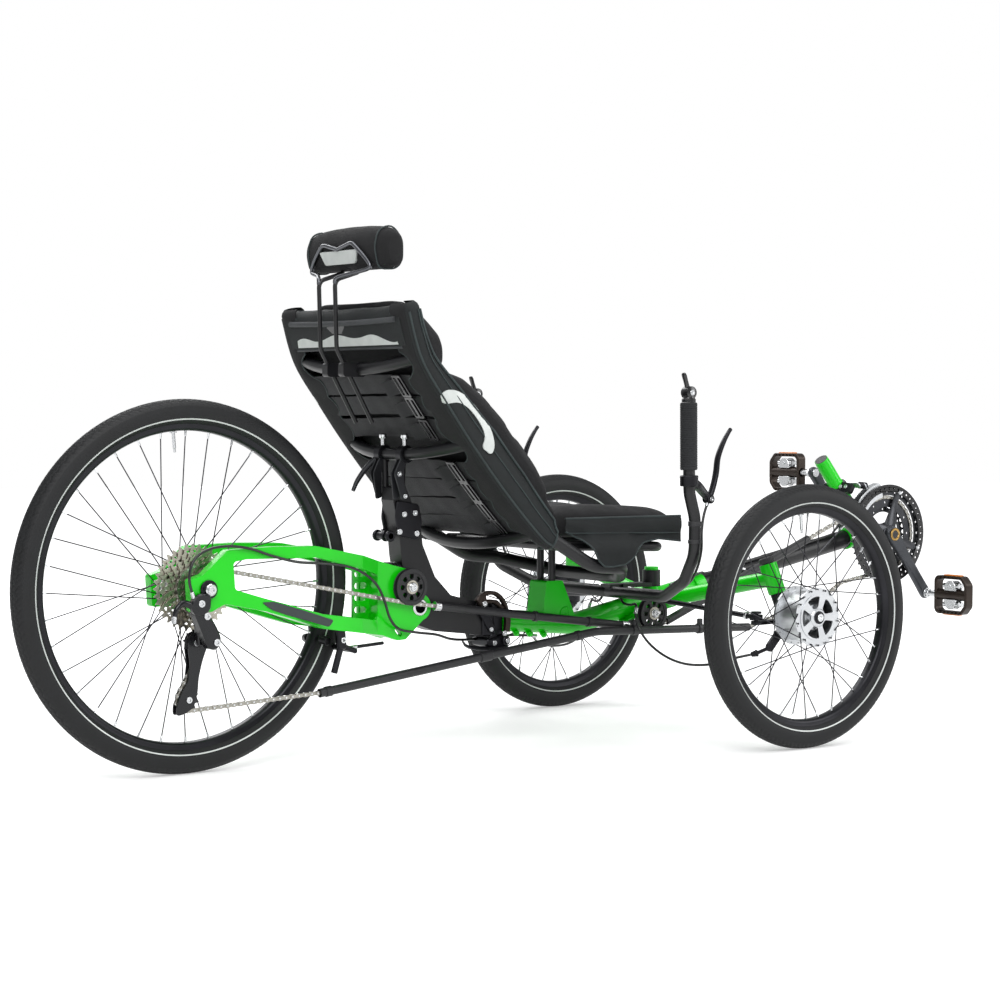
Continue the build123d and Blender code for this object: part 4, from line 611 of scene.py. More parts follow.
for name, (centre, radius, body, innerFlange, outerFlange) in wheelPlaces.items():
    size = wheelSizes
    crown = radius - size["section"]
    repeats = round(tau * radius / size["blockLength"])
    perBlock = size["blockSteps"]
    turns = [4, 9, 13, 17, 22, 27, 31, 35, 40, 46, 52, 58, 62, 66, 76, 90, 105, 120, 134, 146]
    turns = [-t for t in reversed(turns)] + [0] + turns
    loops = []
    for i in range(repeats * perBlock):
        angle = tau * i / (repeats * perBlock)
        way = Vector((0, math.sin(angle), math.cos(angle)))
        loop = []
        for turnHere in turns:
            a = math.radians(turnHere)
            reach = size["section"] - size["treadDepth"] * treadHeight(i / perBlock, turnHere)
            loop.append(centre + stepX(reach * math.sin(a)) + way * (crown + reach * math.cos(a)))
        bead = size["beadHalf"] - 1.2
        loop += [centre + stepX(x) + way * (radius - size["beadHeight"] - 1.5) for x in (bead, -bead)]
        loops.append(loop)
    tyre = newShape()
    addLoops(tyre, loops, closed=True)
    placeShape(tyre, name + "Tyre", tyreRubber, body, [name + "_tyre"], sharp=40)

    stripe = newShape()
    for mirror in (-1, 1):
        profile = []
        for turnHere, lift in ((size["stripeLow"], -0.4), (size["stripeLow"], 0.25), (size["stripeHigh"], 0.25),
                               (size["stripeHigh"], -0.4)):
            a = math.radians(turnHere)
            profile.append((mirror * (size["section"] + lift) * math.sin(a),
                            crown + (size["section"] + lift) * math.cos(a)))
        addLathe(stripe, centre, profile, steps=180)
    placeShape(stripe, name + "TyreStripe", beadTape, body)

    rimOuter = radius - size["beadHeight"]
    rimInner = rimOuter - size["rimDepth"]
    half = size["rimWidth"] / 2
    rim = newShape()
    addLathe(rim, centre, bothEnds([
        (-half + 6.5, rimInner), (-half + 2.4, rimInner + 2.2), (-half + 0.4, rimInner + 6.0),
        (-half + 0.2, rimOuter - 1.2), (-half - 0.3, rimOuter - 0.5), (-half, rimOuter + 1.5),
        (-half + 1.6, rimOuter + 1.5), (-half + 2.2, rimOuter - 4)]), steps=144)
    placeShape(rim, name + "Rim", blackAnodised, body, [name + "_rim"])

    spokes, nipples = newShape(), newShape()
    for number in range(size["spokeCount"]):
        offset, holeRadius = (innerFlange, outerFlange)[number % 2]
        rimAngle = tau * number / size["spokeCount"]
        hubAngle = rimAngle + math.radians(size["spokeTurn"]) * (1 if number % 4 < 2 else -1)
        lean = 1.6 if number % 4 < 2 else -1.6
        head = centre + Vector((offset + lean, holeRadius * math.sin(hubAngle), holeRadius * math.cos(hubAngle)))
        rimPoint = centre + Vector((math.copysign(1.5, offset), rimInner * math.sin(rimAngle),
                                    rimInner * math.cos(rimAngle)))
        run = (rimPoint - head).normalized()
        elbow = head - stepX(2.2 * lean)
        addTube(spokes, [elbow, head, head + run * 4, rimPoint], size["spokeRadius"], 8)
        addTube(spokes, [elbow, head - stepX(2.8 * lean)], 2.0, 8)
        addTube(nipples, [rimPoint - run * 10, rimPoint - run * 9, rimPoint - run * 3, rimPoint + run * 1],
                [1.5, 1.9, 1.9, 2.6], 8)
    placeShape(spokes, name + "Spokes", blackSteelWire, body, [name + "_spokes"])
    valveAngle = tau * 0.5 / size["spokeCount"]
    valveWay = Vector((0, math.sin(valveAngle), math.cos(valveAngle)))
    valve = ((2, 3.0), (-1, 3.0), (-1.1, 6.0), (-3, 6.0), (-3.1, 3.0), (-30, 3.0), (-31, 2.2), (-37, 2.2))
    addTube(nipples, [centre + valveWay * (rimInner + reach) for reach, thick in valve],
            [thick for reach, thick in valve], 14)
    placeShape(nipples, name + "Nipples", stainlessSteel, body)
print("wheels made")

# Front hubs: drum with two drilled flanges and a star-shaped face

hubSizes = {"drum": 47.0, "flange": 56.0, "flangeOffset": 28.0, "plate": 4.0, "holes": 18, "windows": 5,
            "capRadius": 11.0}
for name, side in (("left", 1), ("right", -1)):
    centre = wheelPlaces[name][0]
    body = name + "_wheel"
    size = hubSizes
    turned = newShape()
    inner, outer = -size["flangeOffset"] - 2, size["flangeOffset"] + 2
    addLathe(turned, centre, [(side * (inner + 3), size["drum"] - 3), (side * (inner + 3), size["drum"]),
                              (side * (inner + 12), size["drum"] + 0.6), (side * (outer - 12), size["drum"] + 0.6),
                              (side * (outer - 3), size["drum"]), (side * (outer - 3), size["drum"] - 3)], steps=96)
    for low in (inner, outer - size["plate"]):
        holeTurns = [tau * (k + 0.25) / size["holes"] for k in range(size["holes"])]
        holes = [circle((size["flange"] - 3.5) * math.cos(a), (size["flange"] - 3.5) * math.sin(a), 1.5, 8)
                 for a in holeTurns]
        hole = circle(0, 0, size["drum"] - 3.5 if low == inner else size["drum"] - 4.5, 72)
        addPlate(turned, [circle(0, 0, size["flange"], 90), hole] + holes, side * low,
                 side * (low + size["plate"]), facing(centre, (1, 0, 0)), 0)
    windows = []
    for k in range(size["windows"]):
        mid = tau * k / size["windows"]
        spread = tau / size["windows"] * 0.5 - 0.2
        ring = [(40 * math.cos(mid + spread * s), 40 * math.sin(mid + spread * s)) for s in (-1, -0.5, 0, 0.5, 1)]
        ring += [(19 * math.cos(mid + spread * 0.75 * s), 19 * math.sin(mid + spread * 0.75 * s)) for s in (1, -1)]
        windows.append(rounded(ring, 3.5, 3))
    addPlate(turned, [circle(0, 0, size["drum"] - 3.5, 72)] + windows, side * (outer - 1.5), side * (outer + 1.5),
             facing(centre, (1, 0, 0)), 0)
    addLathe(turned, centre, [(side * (outer - 12), 8.2), (side * (outer - 12), 15), (side * (outer + 2), 18),
                              (side * (outer + 4.5), 15.5), (side * (outer + 4.5), 8.2)], steps=48)
    addLathe(turned, centre, [(side * (inner + 40), 8.2), (side * (inner + 40), 30), (side * (outer - 8), 24),
                              (side * (outer - 6), 8.2)], steps=48)
    placeShape(turned, name + "Hub", castAluminium, body, [name + "_hub"])
    cap = newShape()
    addLathe(cap, centre, [(side * (outer + 4.4), 8.3), (side * (outer + 4.4), size["capRadius"]),
                           (side * (outer + 5.6), size["capRadius"]), (side * (outer + 6), 8.3)], steps=40)
    placeShape(cap, name + "HubSeal", nylonPlastic, body)
    nut = newShape()
    addBolt(nut, centre + stepX(side * 36), (side, 0, 0), 7.5, 3.4)
    placeShape(nut, name + "AxleBolt", stainlessSteel, name + "_knuckle_body")
print("hubs made")

# Rear hub and cassette

cogSizes = {"teeth": (36, 32, 28, 25, 22, 19, 17, 15, 13, 11), "inner": 24.0, "pitch": 3.6, "thick": 1.9,
            "hubRadius": 20}


def toothed(teeth, centreU=0.0, centreV=0.0, first=0.0, height=3.4):
    # A sprocket outline: round roots on the pitch circle and narrow tips.
    pitchRadius = teeth * layout["pitch"] / tau
    outline = []
    for tooth in range(teeth):
        base = first + tau * tooth / teeth
        step = tau / teeth
        for share, lift in ((-0.5, -3.6), (-0.36, -3.0), (-0.2, -0.4), (-0.07, height), (0.07, height), (0.2, -0.4),
                            (0.36, -3.0)):
            angle = base + share * step
            outline.append((centreU + (pitchRadius + lift) * math.cos(angle),
                            centreV + (pitchRadius + lift) * math.sin(angle)))
    return outline


cassette = newShape()
for number, teeth in enumerate(cogSizes["teeth"]):
    low = -cogSizes["inner"] - cogSizes["pitch"] * (number + 1)
    pitchRadius = teeth * layout["pitch"] / tau
    place = facing(Vector((0, rearAxle.y, rearAxle.z)), (1, 0, 0))
    loops = [toothed(teeth, first=number * 0.13)]
    hub = max(19.0, pitchRadius * 0.42)
    if teeth >= 22:
        arms = 8 if teeth > 26 else 6
        for arm in range(arms):
            mid = tau * arm / arms + number * 0.2
            spread = tau / arms * 0.33
            outerReach = pitchRadius - 7.5
            ring = [(outerReach * math.cos(mid + spread * s), outerReach * math.sin(mid + spread * s))
                    for s in (-1, 0, 1)]
            ring += [((hub + 2) * math.cos(mid + spread * 0.7 * s), (hub + 2) * math.sin(mid + spread * 0.7 * s))
                     for s in (1, -1)]
            loops.append(rounded(ring, 3.0, 3))
    loops.append(circle(0, 0, 16.6, 36))
    addPlate(cassette, loops, low, low + cogSizes["thick"], place)
    spacerLow, spacerHigh = low + cogSizes["thick"], low + cogSizes["pitch"]
    addLathe(cassette, rearAxle, [(spacerLow, 16.7), (spacerLow, cogSizes["hubRadius"]),
                                  (spacerHigh, cogSizes["hubRadius"]), (spacerHigh, 16.7)], steps=32)
placeShape(cassette, "cassetteCogs", nickelSteel, "rear_wheel", ["cassette"], sharp=30)
lockring = newShape()
addLathe(lockring, rearAxle, [(-60.0, 8.5), (-60.0, 15.5), (-62.0, 16.4), (-63.0, 14.0), (-63.0, 8.5)], steps=36)
placeShape(lockring, "cassetteLockring", blackAnodised, "rear_wheel")
print("cassette made")

# The seat: cover, mesh, straps, cushions and headrest

seatSizes = {
    "line": ((462, 398), (490, 415), (566, 492), (640, 578), (700, 656), (752, 730), (779, 812)),
    "railX": 200.0, "coverLow": 400.0, "coverHigh": 812.0, "topRound": 15.0, "clothThick": 2.6,
    "coverFront": ((400, 18), (415, 33), (494, 42), (575, 42), (655, 29), (724, 17), (782, 13), (840, 13)),
    "strapHeights": (690, 652, 612, 536, 500, 464, 430), "strapWidth": 34.0,
    "strapEnd": 160, "strapBack": -16.5, "buckleX": -118.0, "tubeHeights": (724, 571, 407),
}
seatLine = curvedLine([at(0, y, z) for y, z in seatSizes["line"]], 10)


def seatAt(height, x, n):
    # A place on the seat by its height on the back line, its distance across, and its distance in front.
    for low, high in zip(seatLine, seatLine[1:]):
        if height <= high.z:
            break
    run = (high - low).normalized()
    share = (height - low.z) / (high.z - low.z)
    return low + (high - low) * share + Vector((x, -run.z * n, run.y * n))


def between(table, value):
    # Reads a table of (place, size) rows at a value, straight between the rows.
    for (low, first), (high, second) in zip(table, table[1:]):
        if value <= high:
            return first + (second - first) * max(0.0, (value - low) / (high - low))
    return table[-1][1]


def thickened(line, thickness):
    # An open line given a thickness on its right side, as a closed outline.
    back = []
    for i, (u, v) in enumerate(line):
        before, after = line[max(i - 1, 0)], line[min(i + 1, len(line) - 1)]
        du, dv = after[0] - before[0], after[1] - before[1]
        length = math.hypot(du, dv)
        back.append((u + dv / length * thickness, v - du / length * thickness))
    return list(line) + back[::-1]


def coverOut(height, n):
    # How far outside the rail's centre the side of the cover lies, at a distance in front of the back line.
    front = between(seatSizes["coverFront"], height)
    return between(((-19, 0), (-15, 11), (-7, 16), (front * 0.4, 17), (front - 6, 15), (front, 9)), n)


def flapDepth(height):
    # The rear flap reaches furthest in at each strap, and is cut back where a cross tube leaves it.
    depth = 42.0
    for strap in seatSizes["strapHeights"]:
        if abs(height - strap) < 20:
            depth += 13.0 * math.cos(math.pi * (height - strap) / 40)
    for tube in seatSizes["tubeHeights"]:
        if abs(height - tube) < 21:
            depth = min(depth, 17.0 + 25.0 * (abs(height - tube) / 21) ** 2)
    return depth


def applied(piece):
    # Turns what the modifiers give into the piece's own mesh.
    shaped = piece.evaluated_get(bpy.context.evaluated_depsgraph_get())
    piece.data = bpy.data.meshes.new_from_object(shaped)
    piece.modifiers.clear()


clothValues = {"quality": 5, "mass": 0.25, "tension_stiffness": 12.0, "compression_stiffness": 12.0,
               "bending_stiffness": 0.4, "use_pressure": True}
clothFrames = 20


def plumped(piece, voxel, pressure, reach, flat=None):
    # Fills a sewn cover: an even remesh, a short cloth simulation, and a cap on how far a point may move.
    even = piece.modifiers.new("even", "REMESH")
    even.mode = "VOXEL"
    even.voxel_size = voxel * mm
    applied(piece)
    ease = piece.modifiers.new("ease", "SMOOTH")
    ease.iterations = 4
    applied(piece)
    start = [vertex.co.copy() for vertex in piece.data.vertices]
    cloth = piece.modifiers.new("cloth", "CLOTH")
    for key, value in clothValues.items():
        setattr(cloth.settings, key, value)
    cloth.settings.uniform_pressure_force = pressure
    cloth.settings.effector_weights.gravity = 0.0
    cloth.point_cache.frame_end = clothFrames
    for frameNumber in range(1, clothFrames + 1):
        scene.frame_set(frameNumber)
    applied(piece)
    scene.frame_set(1)
    for vertex, old in zip(piece.data.vertices, start):
        move = vertex.co - old
        cap = reach * mm * (flat(old / mm) if flat else 1.0)
        if move.length > cap:
            vertex.co = old + move.normalized() * cap
    piece.data.polygons.foreach_set("use_smooth", [True] * len(piece.data.polygons))
    finer = piece.modifiers.new("finer", "SUBSURF")
    finer.levels = finer.render_levels = 1


def pillowLoop(place, halfWidth, low, high, dish=0.0, steps=36):
    # One section of a cushion: full corners, a crowned face, and a dished middle on the rider's side.
    loop = []
    for k in range(steps):
        angle = tau * k / steps
        c, s = math.cos(angle), math.sin(angle)
        x = halfWidth * math.copysign(abs(c) ** 0.42, c)
        n = (low + high) / 2 + (high - low) / 2 * math.copysign(abs(s) ** 0.62, s)
        if s > 0:
            n -= dish * (1 - (x / halfWidth) ** 2) ** 2
        loop.append(place(x, n))
    return loop


for name, side in (("left", 1), ("right", -1)):
    panel, flap, piping = (newShape() for i in range(3))
    panelLoops, flapLoops, lines = [], [], [[], [], [], []]
    height = seatSizes["coverLow"]
    while height < seatSizes["coverHigh"] + seatSizes["topRound"]:
        front = between(seatSizes["coverFront"], height)
        over = max(0.0, height - seatSizes["coverHigh"]) / seatSizes["topRound"]
        drawn = math.sqrt(max(0.0, 1 - over * over)) * 0.85 + 0.15
        slack = 0.9 * math.sin(height / 23 + side) + 0.5 * math.sin(height / 9.1)
        depth = flapDepth(height)
        outer = [(-28, front + 2), (-14, front + 4), (-2, front + 3.6), (9, front), (14.6, front - 5),
                 (17 + slack, front * 0.4), (16.4 + slack, -3), (15, -9), (10, -15.5), (2, -18.4)]
        rear = [(6, -17.4), (-6, -19.8), (-depth * 0.4, -19.6 - slack), (-depth * 0.75, -18.8), (-depth, -17.2)]
        for loops, line, thickness in ((panelLoops, outer, seatSizes["clothThick"]), (flapLoops, rear, 2.0)):
            loops.append([seatAt(height, side * (seatSizes["railX"] + d * (drawn if d > 0 else 1)), n * drawn)
                          for d, n in thickened(line, thickness)])
        for k, (d, n) in enumerate(((15.6, front - 4), (17.6 + slack, front * 0.4 - 2), (13.6, -12.6),
                                    (-depth, -16.4))):
            if over == 0:
                lines[k].append(seatAt(height, side * (seatSizes["railX"] + d), n))
        height += 5.0
    addLoops(panel, panelLoops)
    addLoops(flap, flapLoops)
    for line, radius in zip(lines, (2.2, 1.1, 2.0, 1.7)):
        addTube(piping, line, radius, 8)
    low = seatSizes["coverLow"]
    addTube(piping, [seatAt(low, side * (seatSizes["railX"] + d), n)
                     for d, n in ((-26, 18), (9, 17), (15, 10), (17, 4), (16, -6), (10, -15), (-30, -19))], 2.2, 8)
    placeShape(panel, name + "SeatSide", sideCloth, "frame", sharp=60)
    placeShape(flap, name + "SeatRearFlap", padCloth, "frame", sharp=60)
    # The piping's pale grey is a painted highlight on the seams, over a real cord
    placeShape(piping, name + "SeatPiping", pipingWithPaintedHighlight, "frame", sharp=60)
    patch = newShape()
    patchLine = curvedLine([(664, -16, 9), (661, -2, 10), (650, 13, 8.5), (630, 25, 8), (604, 29, 8),
                            (582, 25, 8), (568, 15, 9.5), (562, 1, 10)], 6)
    loops = []
    for i, spot in enumerate(patchLine):
        before, after = patchLine[max(i - 1, 0)], patchLine[min(i + 1, len(patchLine) - 1)]
        acrossWay = Vector((before.y - after.y, after.x - before.x)).normalized()
        endShare = min(1.0, (min(i, len(patchLine) - 1 - i) + 0.6) / 4)
        halfWidth = spot.z * math.sqrt(1 - (1 - endShare) ** 2)
        row = []
        for share in (-1, -0.5, 0, 0.5, 1):
            height, n = spot.x + acrossWay.x * halfWidth * share, spot.y + acrossWay.y * halfWidth * share
            row.append((height, n))
        loop = [seatAt(h, side * (seatSizes["railX"] + coverOut(h, n) + 2.4), n) for h, n in row]
        loop += [seatAt(h, side * (seatSizes["railX"] + coverOut(h, n) - 0.5), n) for h, n in reversed(row)]
        loops.append(loop)
    addLoops(patch, loops)
    placeShape(patch, name + "SeatPatch", beadTape, "frame", sharp=60)

# The top edge of the cover: a rolled hem between the two sides, with a pale strip on its back.
topHem, hemRoll, strip, stripEdge = (newShape() for i in range(4))
hemSizes = {"half": 190, "rollHalf": 176, "sag": 3.2, "steps": 40}
hemLine = [(751, -14.5), (756, -18), (780, -19.2), (800, -19), (812, -14), (817, -5), (817.5, 6), (813, 15), (796, 19)]
loops = []
for k in range(hemSizes["steps"] + 1):
    x = hemSizes["half"] * (1 - 2 * k / hemSizes["steps"])
    sag = hemSizes["sag"] * (1 - (x / hemSizes["half"]) ** 2) + 0.7 * math.sin(x / 19)
    loops.append([seatAt(h - (sag if h > 790 else 0), x, n + sag * 0.5) for h, n in thickened(hemLine, 2.6)])
addLoops(topHem, loops)
placeShape(topHem, "seatTopHem", sideCloth, "frame", sharp=60)
# The two hem rolls are real folded edges, coloured pale grey as a painted highlight
for height, n, radius, sag in ((800, -20.6, 5.2, hemSizes["sag"]), (752, -17.5, 3.0, 0)):
    line = []
    for x in range(-hemSizes["rollHalf"], hemSizes["rollHalf"] + 1, 16):
        inside = 1 - (x / hemSizes["rollHalf"]) ** 2
        line.append(seatAt(height - sag * inside, x, n + 1.4 * inside))
    addTube(hemRoll, line, radius, 12)
placeShape(hemRoll, "seatHemRolls", hemRollWithPaintedHighlight, "frame", sharp=60)


def hemPlace(lift):
    # A place function on the back of the hem, for a plate that far off it.
    return lambda u, v, w: seatAt(v, u, -19.9 + 1.5 * (1 - (u / hemSizes["half"]) ** 2) - lift - w)


stripTop = [(160, 791), (140, 791), (100, 791), (56, 791), (38, 778)]
stripLow = [(x, 757) for x in range(120, -121, -40)]
stripOutline = ([(-168, 757)] + [(-x, z) for x, z in stripTop] + [(0, 778)] + stripTop[::-1] + [(168, 757)]
                + stripLow)
addPlate(strip, [stripOutline], 0, 0.8, hemPlace(0.4))
placeShape(strip, "seatBackStrip", beadTape, "frame", sharp=60)
addPlate(stripEdge, [rounded([(-55, 790.6), (-38, 779), (38, 779), (55, 790.6), (40, 796), (-40, 796)], 3, 3)], 0, 1.2,
         hemPlace(0.4))
placeShape(stripEdge, "seatStripNotch", glossPlastic, "frame")
print("seat cover made")

# The mesh that carries the cushions: laced taut between the rails, it gives a little between the straps.
meshSizes = {"half": 186.0, "low": 402.0, "high": 800.0, "sag": 8.5, "rows": 66, "columns": 42}
size = meshSizes
meshPoints, meshFaces = [], []
for i in range(size["rows"] + 1):
    height = size["low"] + (size["high"] - size["low"]) * i / size["rows"]
    for j in range(size["columns"] + 1):
        x = -size["half"] + 2 * size["half"] * j / size["columns"]
        inside = 1 - (x / size["half"]) ** 2
        n = 13 - size["sag"] * inside + 1.1 * math.cos(tau * height / 44) * inside
        meshPoints.append(seatAt(height, x, n))
for i in range(size["rows"]):
    for j in range(size["columns"]):
        a = i * (size["columns"] + 1) + j
        meshFaces.append((a, a + 1, a + size["columns"] + 2, a + size["columns"] + 1))
backMesh = placeShape({"points": meshPoints, "faces": meshFaces}, "seatBackMesh", seatMesh, "frame", ["seat_sling"],
                      sharp=80)

# Cross straps draw the two flaps together behind the mesh, each with a ladder buckle on the right.
straps, buckles = newShape(), newShape()
for number, height in enumerate(seatSizes["strapHeights"]):
    loops = []
    half = seatSizes["strapWidth"] / 2
    for k in range(33):
        x = seatSizes["strapEnd"] * (1 - k / 16)
        inside = 1 - (x / seatSizes["strapEnd"]) ** 2
        n = seatSizes["strapBack"] + 4.5 * inside + 0.5 * math.sin(k * 1.3 + number)
        roll = 1.2 * math.sin(k / 5 + number * 1.7)
        loops.append([seatAt(height + v, x, n + w + roll * v / half)
                      for v, w in ((-half, -0.6), (-half + 1, -1.1), (0, -1.4), (half - 1, -1.1), (half, -0.6),
                                   (half, 0.6), (half - 1, 1.1), (-half + 1, 1.1), (-half, 0.6))])
    addLoops(straps, loops)
    tail = []
    for k in range(9):
        share = k / 8
        x = seatSizes["buckleX"] + 8 + 46 * share
        n = seatSizes["strapBack"] - 3.2 - 7 * math.sin(share * 2.2) * share
        tail.append([seatAt(height - 5 * share * share + v, x, n + w)
                     for v, w in ((-12.5, -0.7), (12.5, -0.7), (12.5, 0.7), (-12.5, 0.7))])
    addLoops(straps, tail)

    def bucklePlace(u, v, w):
        return seatAt(height + v, seatSizes["buckleX"] + u, seatSizes["strapBack"] - 0.5 - w + 0.06 * u)

    frameLine = rounded([(-15, -19), (15, -19), (15, 19), (-15, 19)], 4, 3)
    slots = [rounded([(u - 4, -14.5), (u + 4, -14.5), (u + 4, 14.5), (u - 4, 14.5)], 1.5, 2) for u in (-7.5, 7.5)]
    addPlate(buckles, [frameLine] + slots, 1.0, 5.0, bucklePlace, 0.6)
placeShape(straps, "seatStraps", webbing, "frame", sharp=50)
placeShape(buckles, "seatStrapBuckles", glossPlastic, "frame")
print("seat mesh and straps made")

cushionTables = {
    "upperBackCushion": ((826, 14, 22, 110), (818, 13, 40, 142), (800, 13, 58, 156), (770, 14, 76, 162),
                         (735, 15, 89, 165), (705, 15, 84, 166), (686, 15, 68, 164), (677, 16, 40, 154)),
    "lowerBackCushion": ((678, 16, 34, 154), (670, 15, 62, 166), (645, 15, 86, 168), (600, 15, 103, 171),
                         (550, 15, 112, 172), (500, 15, 113, 172), (460, 15, 110, 172), (425, 16, 102, 171),
                         (400, 24, 90, 166), (388, 34, 74, 152)),
}
for name, table in cushionTables.items():
    body = newShape()
    addLoops(body, [pillowLoop(lambda x, n, h=height: seatAt(h, x, n), halfWidth, low, high, 6)
                    for height, low, high, halfWidth in table])
    cushion = placeShape(body, name, padCloth, None)
    plumped(cushion, 6.0, 4.0, 5.0, lambda spot: 0.15 if spot.y - seatAt(spot.z, 0, 0).y > -60 else 1.0)
    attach(cushion, "frame")
    if name == "lowerBackCushion":
        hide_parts("back_cushion")
baseTable = ((408, 400, 432, 150), (402, 398, 450, 172), (385, 397, 460, 182), (340, 396, 462, 186),
             (290, 394, 460, 187), (235, 392, 457, 187), (190, 389, 454, 186), (162, 388, 450, 182),
             (149, 389, 441, 172), (143, 396, 426, 150))
body = newShape()
addLoops(body, [pillowLoop(lambda x, z, y=y: at(x, y, z), halfWidth, low, high, 13)
                for y, low, high, halfWidth in baseTable])
baseCushion = placeShape(body, "baseCushion", padCloth, None)
plumped(baseCushion, 6.0, 4.0, 4.0, lambda spot: 0.1 if spot.z < 405 else 1.0)
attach(baseCushion, "frame")
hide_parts("base_cushion")

# The base cushion's side band and the skirt that is drawn down over the frame loop
skirtSizes = {
    "front": 146, "step": 4, "columns": 71, "rows": 8, "top": 436, "half": 191, "thick": 2.2,
    "low": ((146, 388), (200, 394), (240, 388), (262, 378), (285, 360), (303, 349), (330, 346), (352, 347),
            (366, 358), (376, 378), (388, 396), (425, 412)),
}
size = skirtSizes
skirt, skirtEdge = newShape(), newShape()
for side in (1, -1):
    loops, lowEdge, highEdge = [], [], []
    for k in range(size["columns"]):
        y = size["front"] + size["step"] * k
        low = between(size["low"], y)
        column = []
        for row in range(size["rows"] + 1):
            z = size["top"] + (low - size["top"]) * row / size["rows"]
            swell = 0.5 - 0.5 * math.cos(math.pi * min(1.0, max(0.0, (404 - z) / 26)))
            x = size["half"] + 3 * math.sin(math.pi * row / 5) * (row < 5)
            x += 25 * swell * min(1.0, max(0.0, (y - 230) / 50)) + 1.0 * math.sin(y / 11) * row / size["rows"]
            column.append((x, z))
        loops.append([at(side * x, y, z) for x, z in column]
                     + [at(side * (x - size["thick"]), y, z) for x, z in reversed(column)])
        lowEdge.append(at(side * (column[-1][0] - 1), y, column[-1][1]))
        highEdge.append(at(side * (column[0][0] - 1), y, column[0][1]))
    addLoops(skirt, loops)
    addTube(skirtEdge, lowEdge, 1.9, 8)
    addTube(skirtEdge, highEdge, 2.2, 8)
    addTube(skirtEdge, [at(side * 193.4, 150 + 30 * k, 404 + 0.6 * k) for k in range(10)], 1.2, 8)
placeShape(skirt, "baseSkirt", sideCloth, "frame", sharp=60)
placeShape(skirtEdge, "baseSkirtPiping", pipingWithPaintedHighlight, "frame", sharp=60)
print("cushions made")

# The headrest: a small pillow held by a bent wire, with a pale panel on its back
padOutline = rounded([(738, 900), (752, 890), (790, 888), (800, 930), (790, 962), (760, 971), (738, 950)], 14, 4)
padBody, padSeam = newShape(), newShape()
padSizes = {"distance": 768, "height": 930, "half": 137, "droop": 6}
padShares = [(-137, 0.42), (-134, 0.6), (-126, 0.78), (-112, 0.9), (-90, 0.97), (-55, 1.0)]
padLoops = []
for x, share in padShares + [(0, 0.99)] + [(-x, share) for x, share in reversed(padShares)]:
    droop = padSizes["droop"] * (abs(x) / padSizes["half"]) ** 2
    padLoops.append([at(x, padSizes["distance"] + (y - padSizes["distance"]) * share,
                        padSizes["height"] + (z - padSizes["height"]) * (0.3 + 0.7 * share) - droop)
                     for y, z in padOutline])
addLoops(padBody, padLoops)
headrestPad = placeShape(padBody, "headrestPad", padCloth, None)
plumped(headrestPad, 4.5, 4.0, 4.0)
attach(headrestPad, "frame")
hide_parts("headrest_pad")
for loop in (padLoops[3], padLoops[9]):
    middle = sum(loop, Vector()) / len(loop)
    addTube(padSeam, [middle + (p - middle) * 1.035 for p in loop], 1.6, 8, closed=True)
placeShape(padSeam, "headrestPiping", pipingWithPaintedHighlight, "frame", sharp=60)
panelPlace = facing(at(0, 799.5, 911), (0, 0.97, -0.24))
padPanel, padWire = newShape(), newShape()
addPlate(padPanel, [rounded([(-62, 12), (62, 12), (50, -13), (-50, -13)], 5, 4)], -3.0, 1.4, panelPlace, 0.4)
placeShape(padPanel, "headrestPanel", beadTape, "frame")
for side in (1, -1):
    addTube(padWire, curvedLine([at(side * 27, 826, 862), at(side * 31, 824, 872), at(side * 60, 808, 880),
                                 at(side * 92, 799, 886), at(side * 97, 797, 893), at(side * 84, 800, 908),
                                 at(side * 56, 804, 930), at(side * 44, 804, 934), at(side * 24, 804, 930),
                                 at(0, 804, 925)], 5), 3.8, 12)
placeShape(padWire, "headrestWire", satinSteel, "frame", sharp=60)
print("headrest made")

# Chain: its line round the cogs, then plates, pins and rollers at every half inch

chainSizes = {"plateHeight": 4.0, "waist": 2.8, "plate": 0.95,
              "roller": 3.8, "cornerRadius": 140.0, "ringRadius": 78.83, "cogRadius": 38.4, "idler": 30.0,
              "jockey": 20.0}
size = chainSizes
chainX, returnX = layout["chainX"], layout["returnX"]
idlerPlaces = {"front": (92, 236), "rear": (672, 311)}
jockeyPlaces = ((1121, 233), (1136, 135))
# x, distance behind the front axle, height, radius, and which way the chain turns there
chainStops = (
    (chainX, *idlerPlaces["rear"], size["idler"], 1),
    (chainX, layout["rearDistance"], layout["rearRadius"], size["cogRadius"], -1),
    (chainX, *jockeyPlaces[0], size["jockey"], 1), (chainX, *jockeyPlaces[1], size["jockey"], -1),
    (returnX, 880, 131, 0, 1), (returnX, 250, 209, 0, 1), (returnX, -147, 198, 0, 1), (chainX, -400, 258, 0, 1),
    (chainX, layout["crankDistance"], layout["crankHeight"], size["ringRadius"], -1),
    (chainX, *idlerPlaces["front"], size["idler"], 1),
)


def runAngle(first, second):
    # The slope of the straight run that touches two wheels.
    stepY, stepZ = second[1] - first[1], second[2] - first[2]
    lean = (second[4] * second[3] - first[4] * first[3]) / math.hypot(stepY, stepZ)
    return math.atan2(stepZ, stepY) - math.asin(lean)


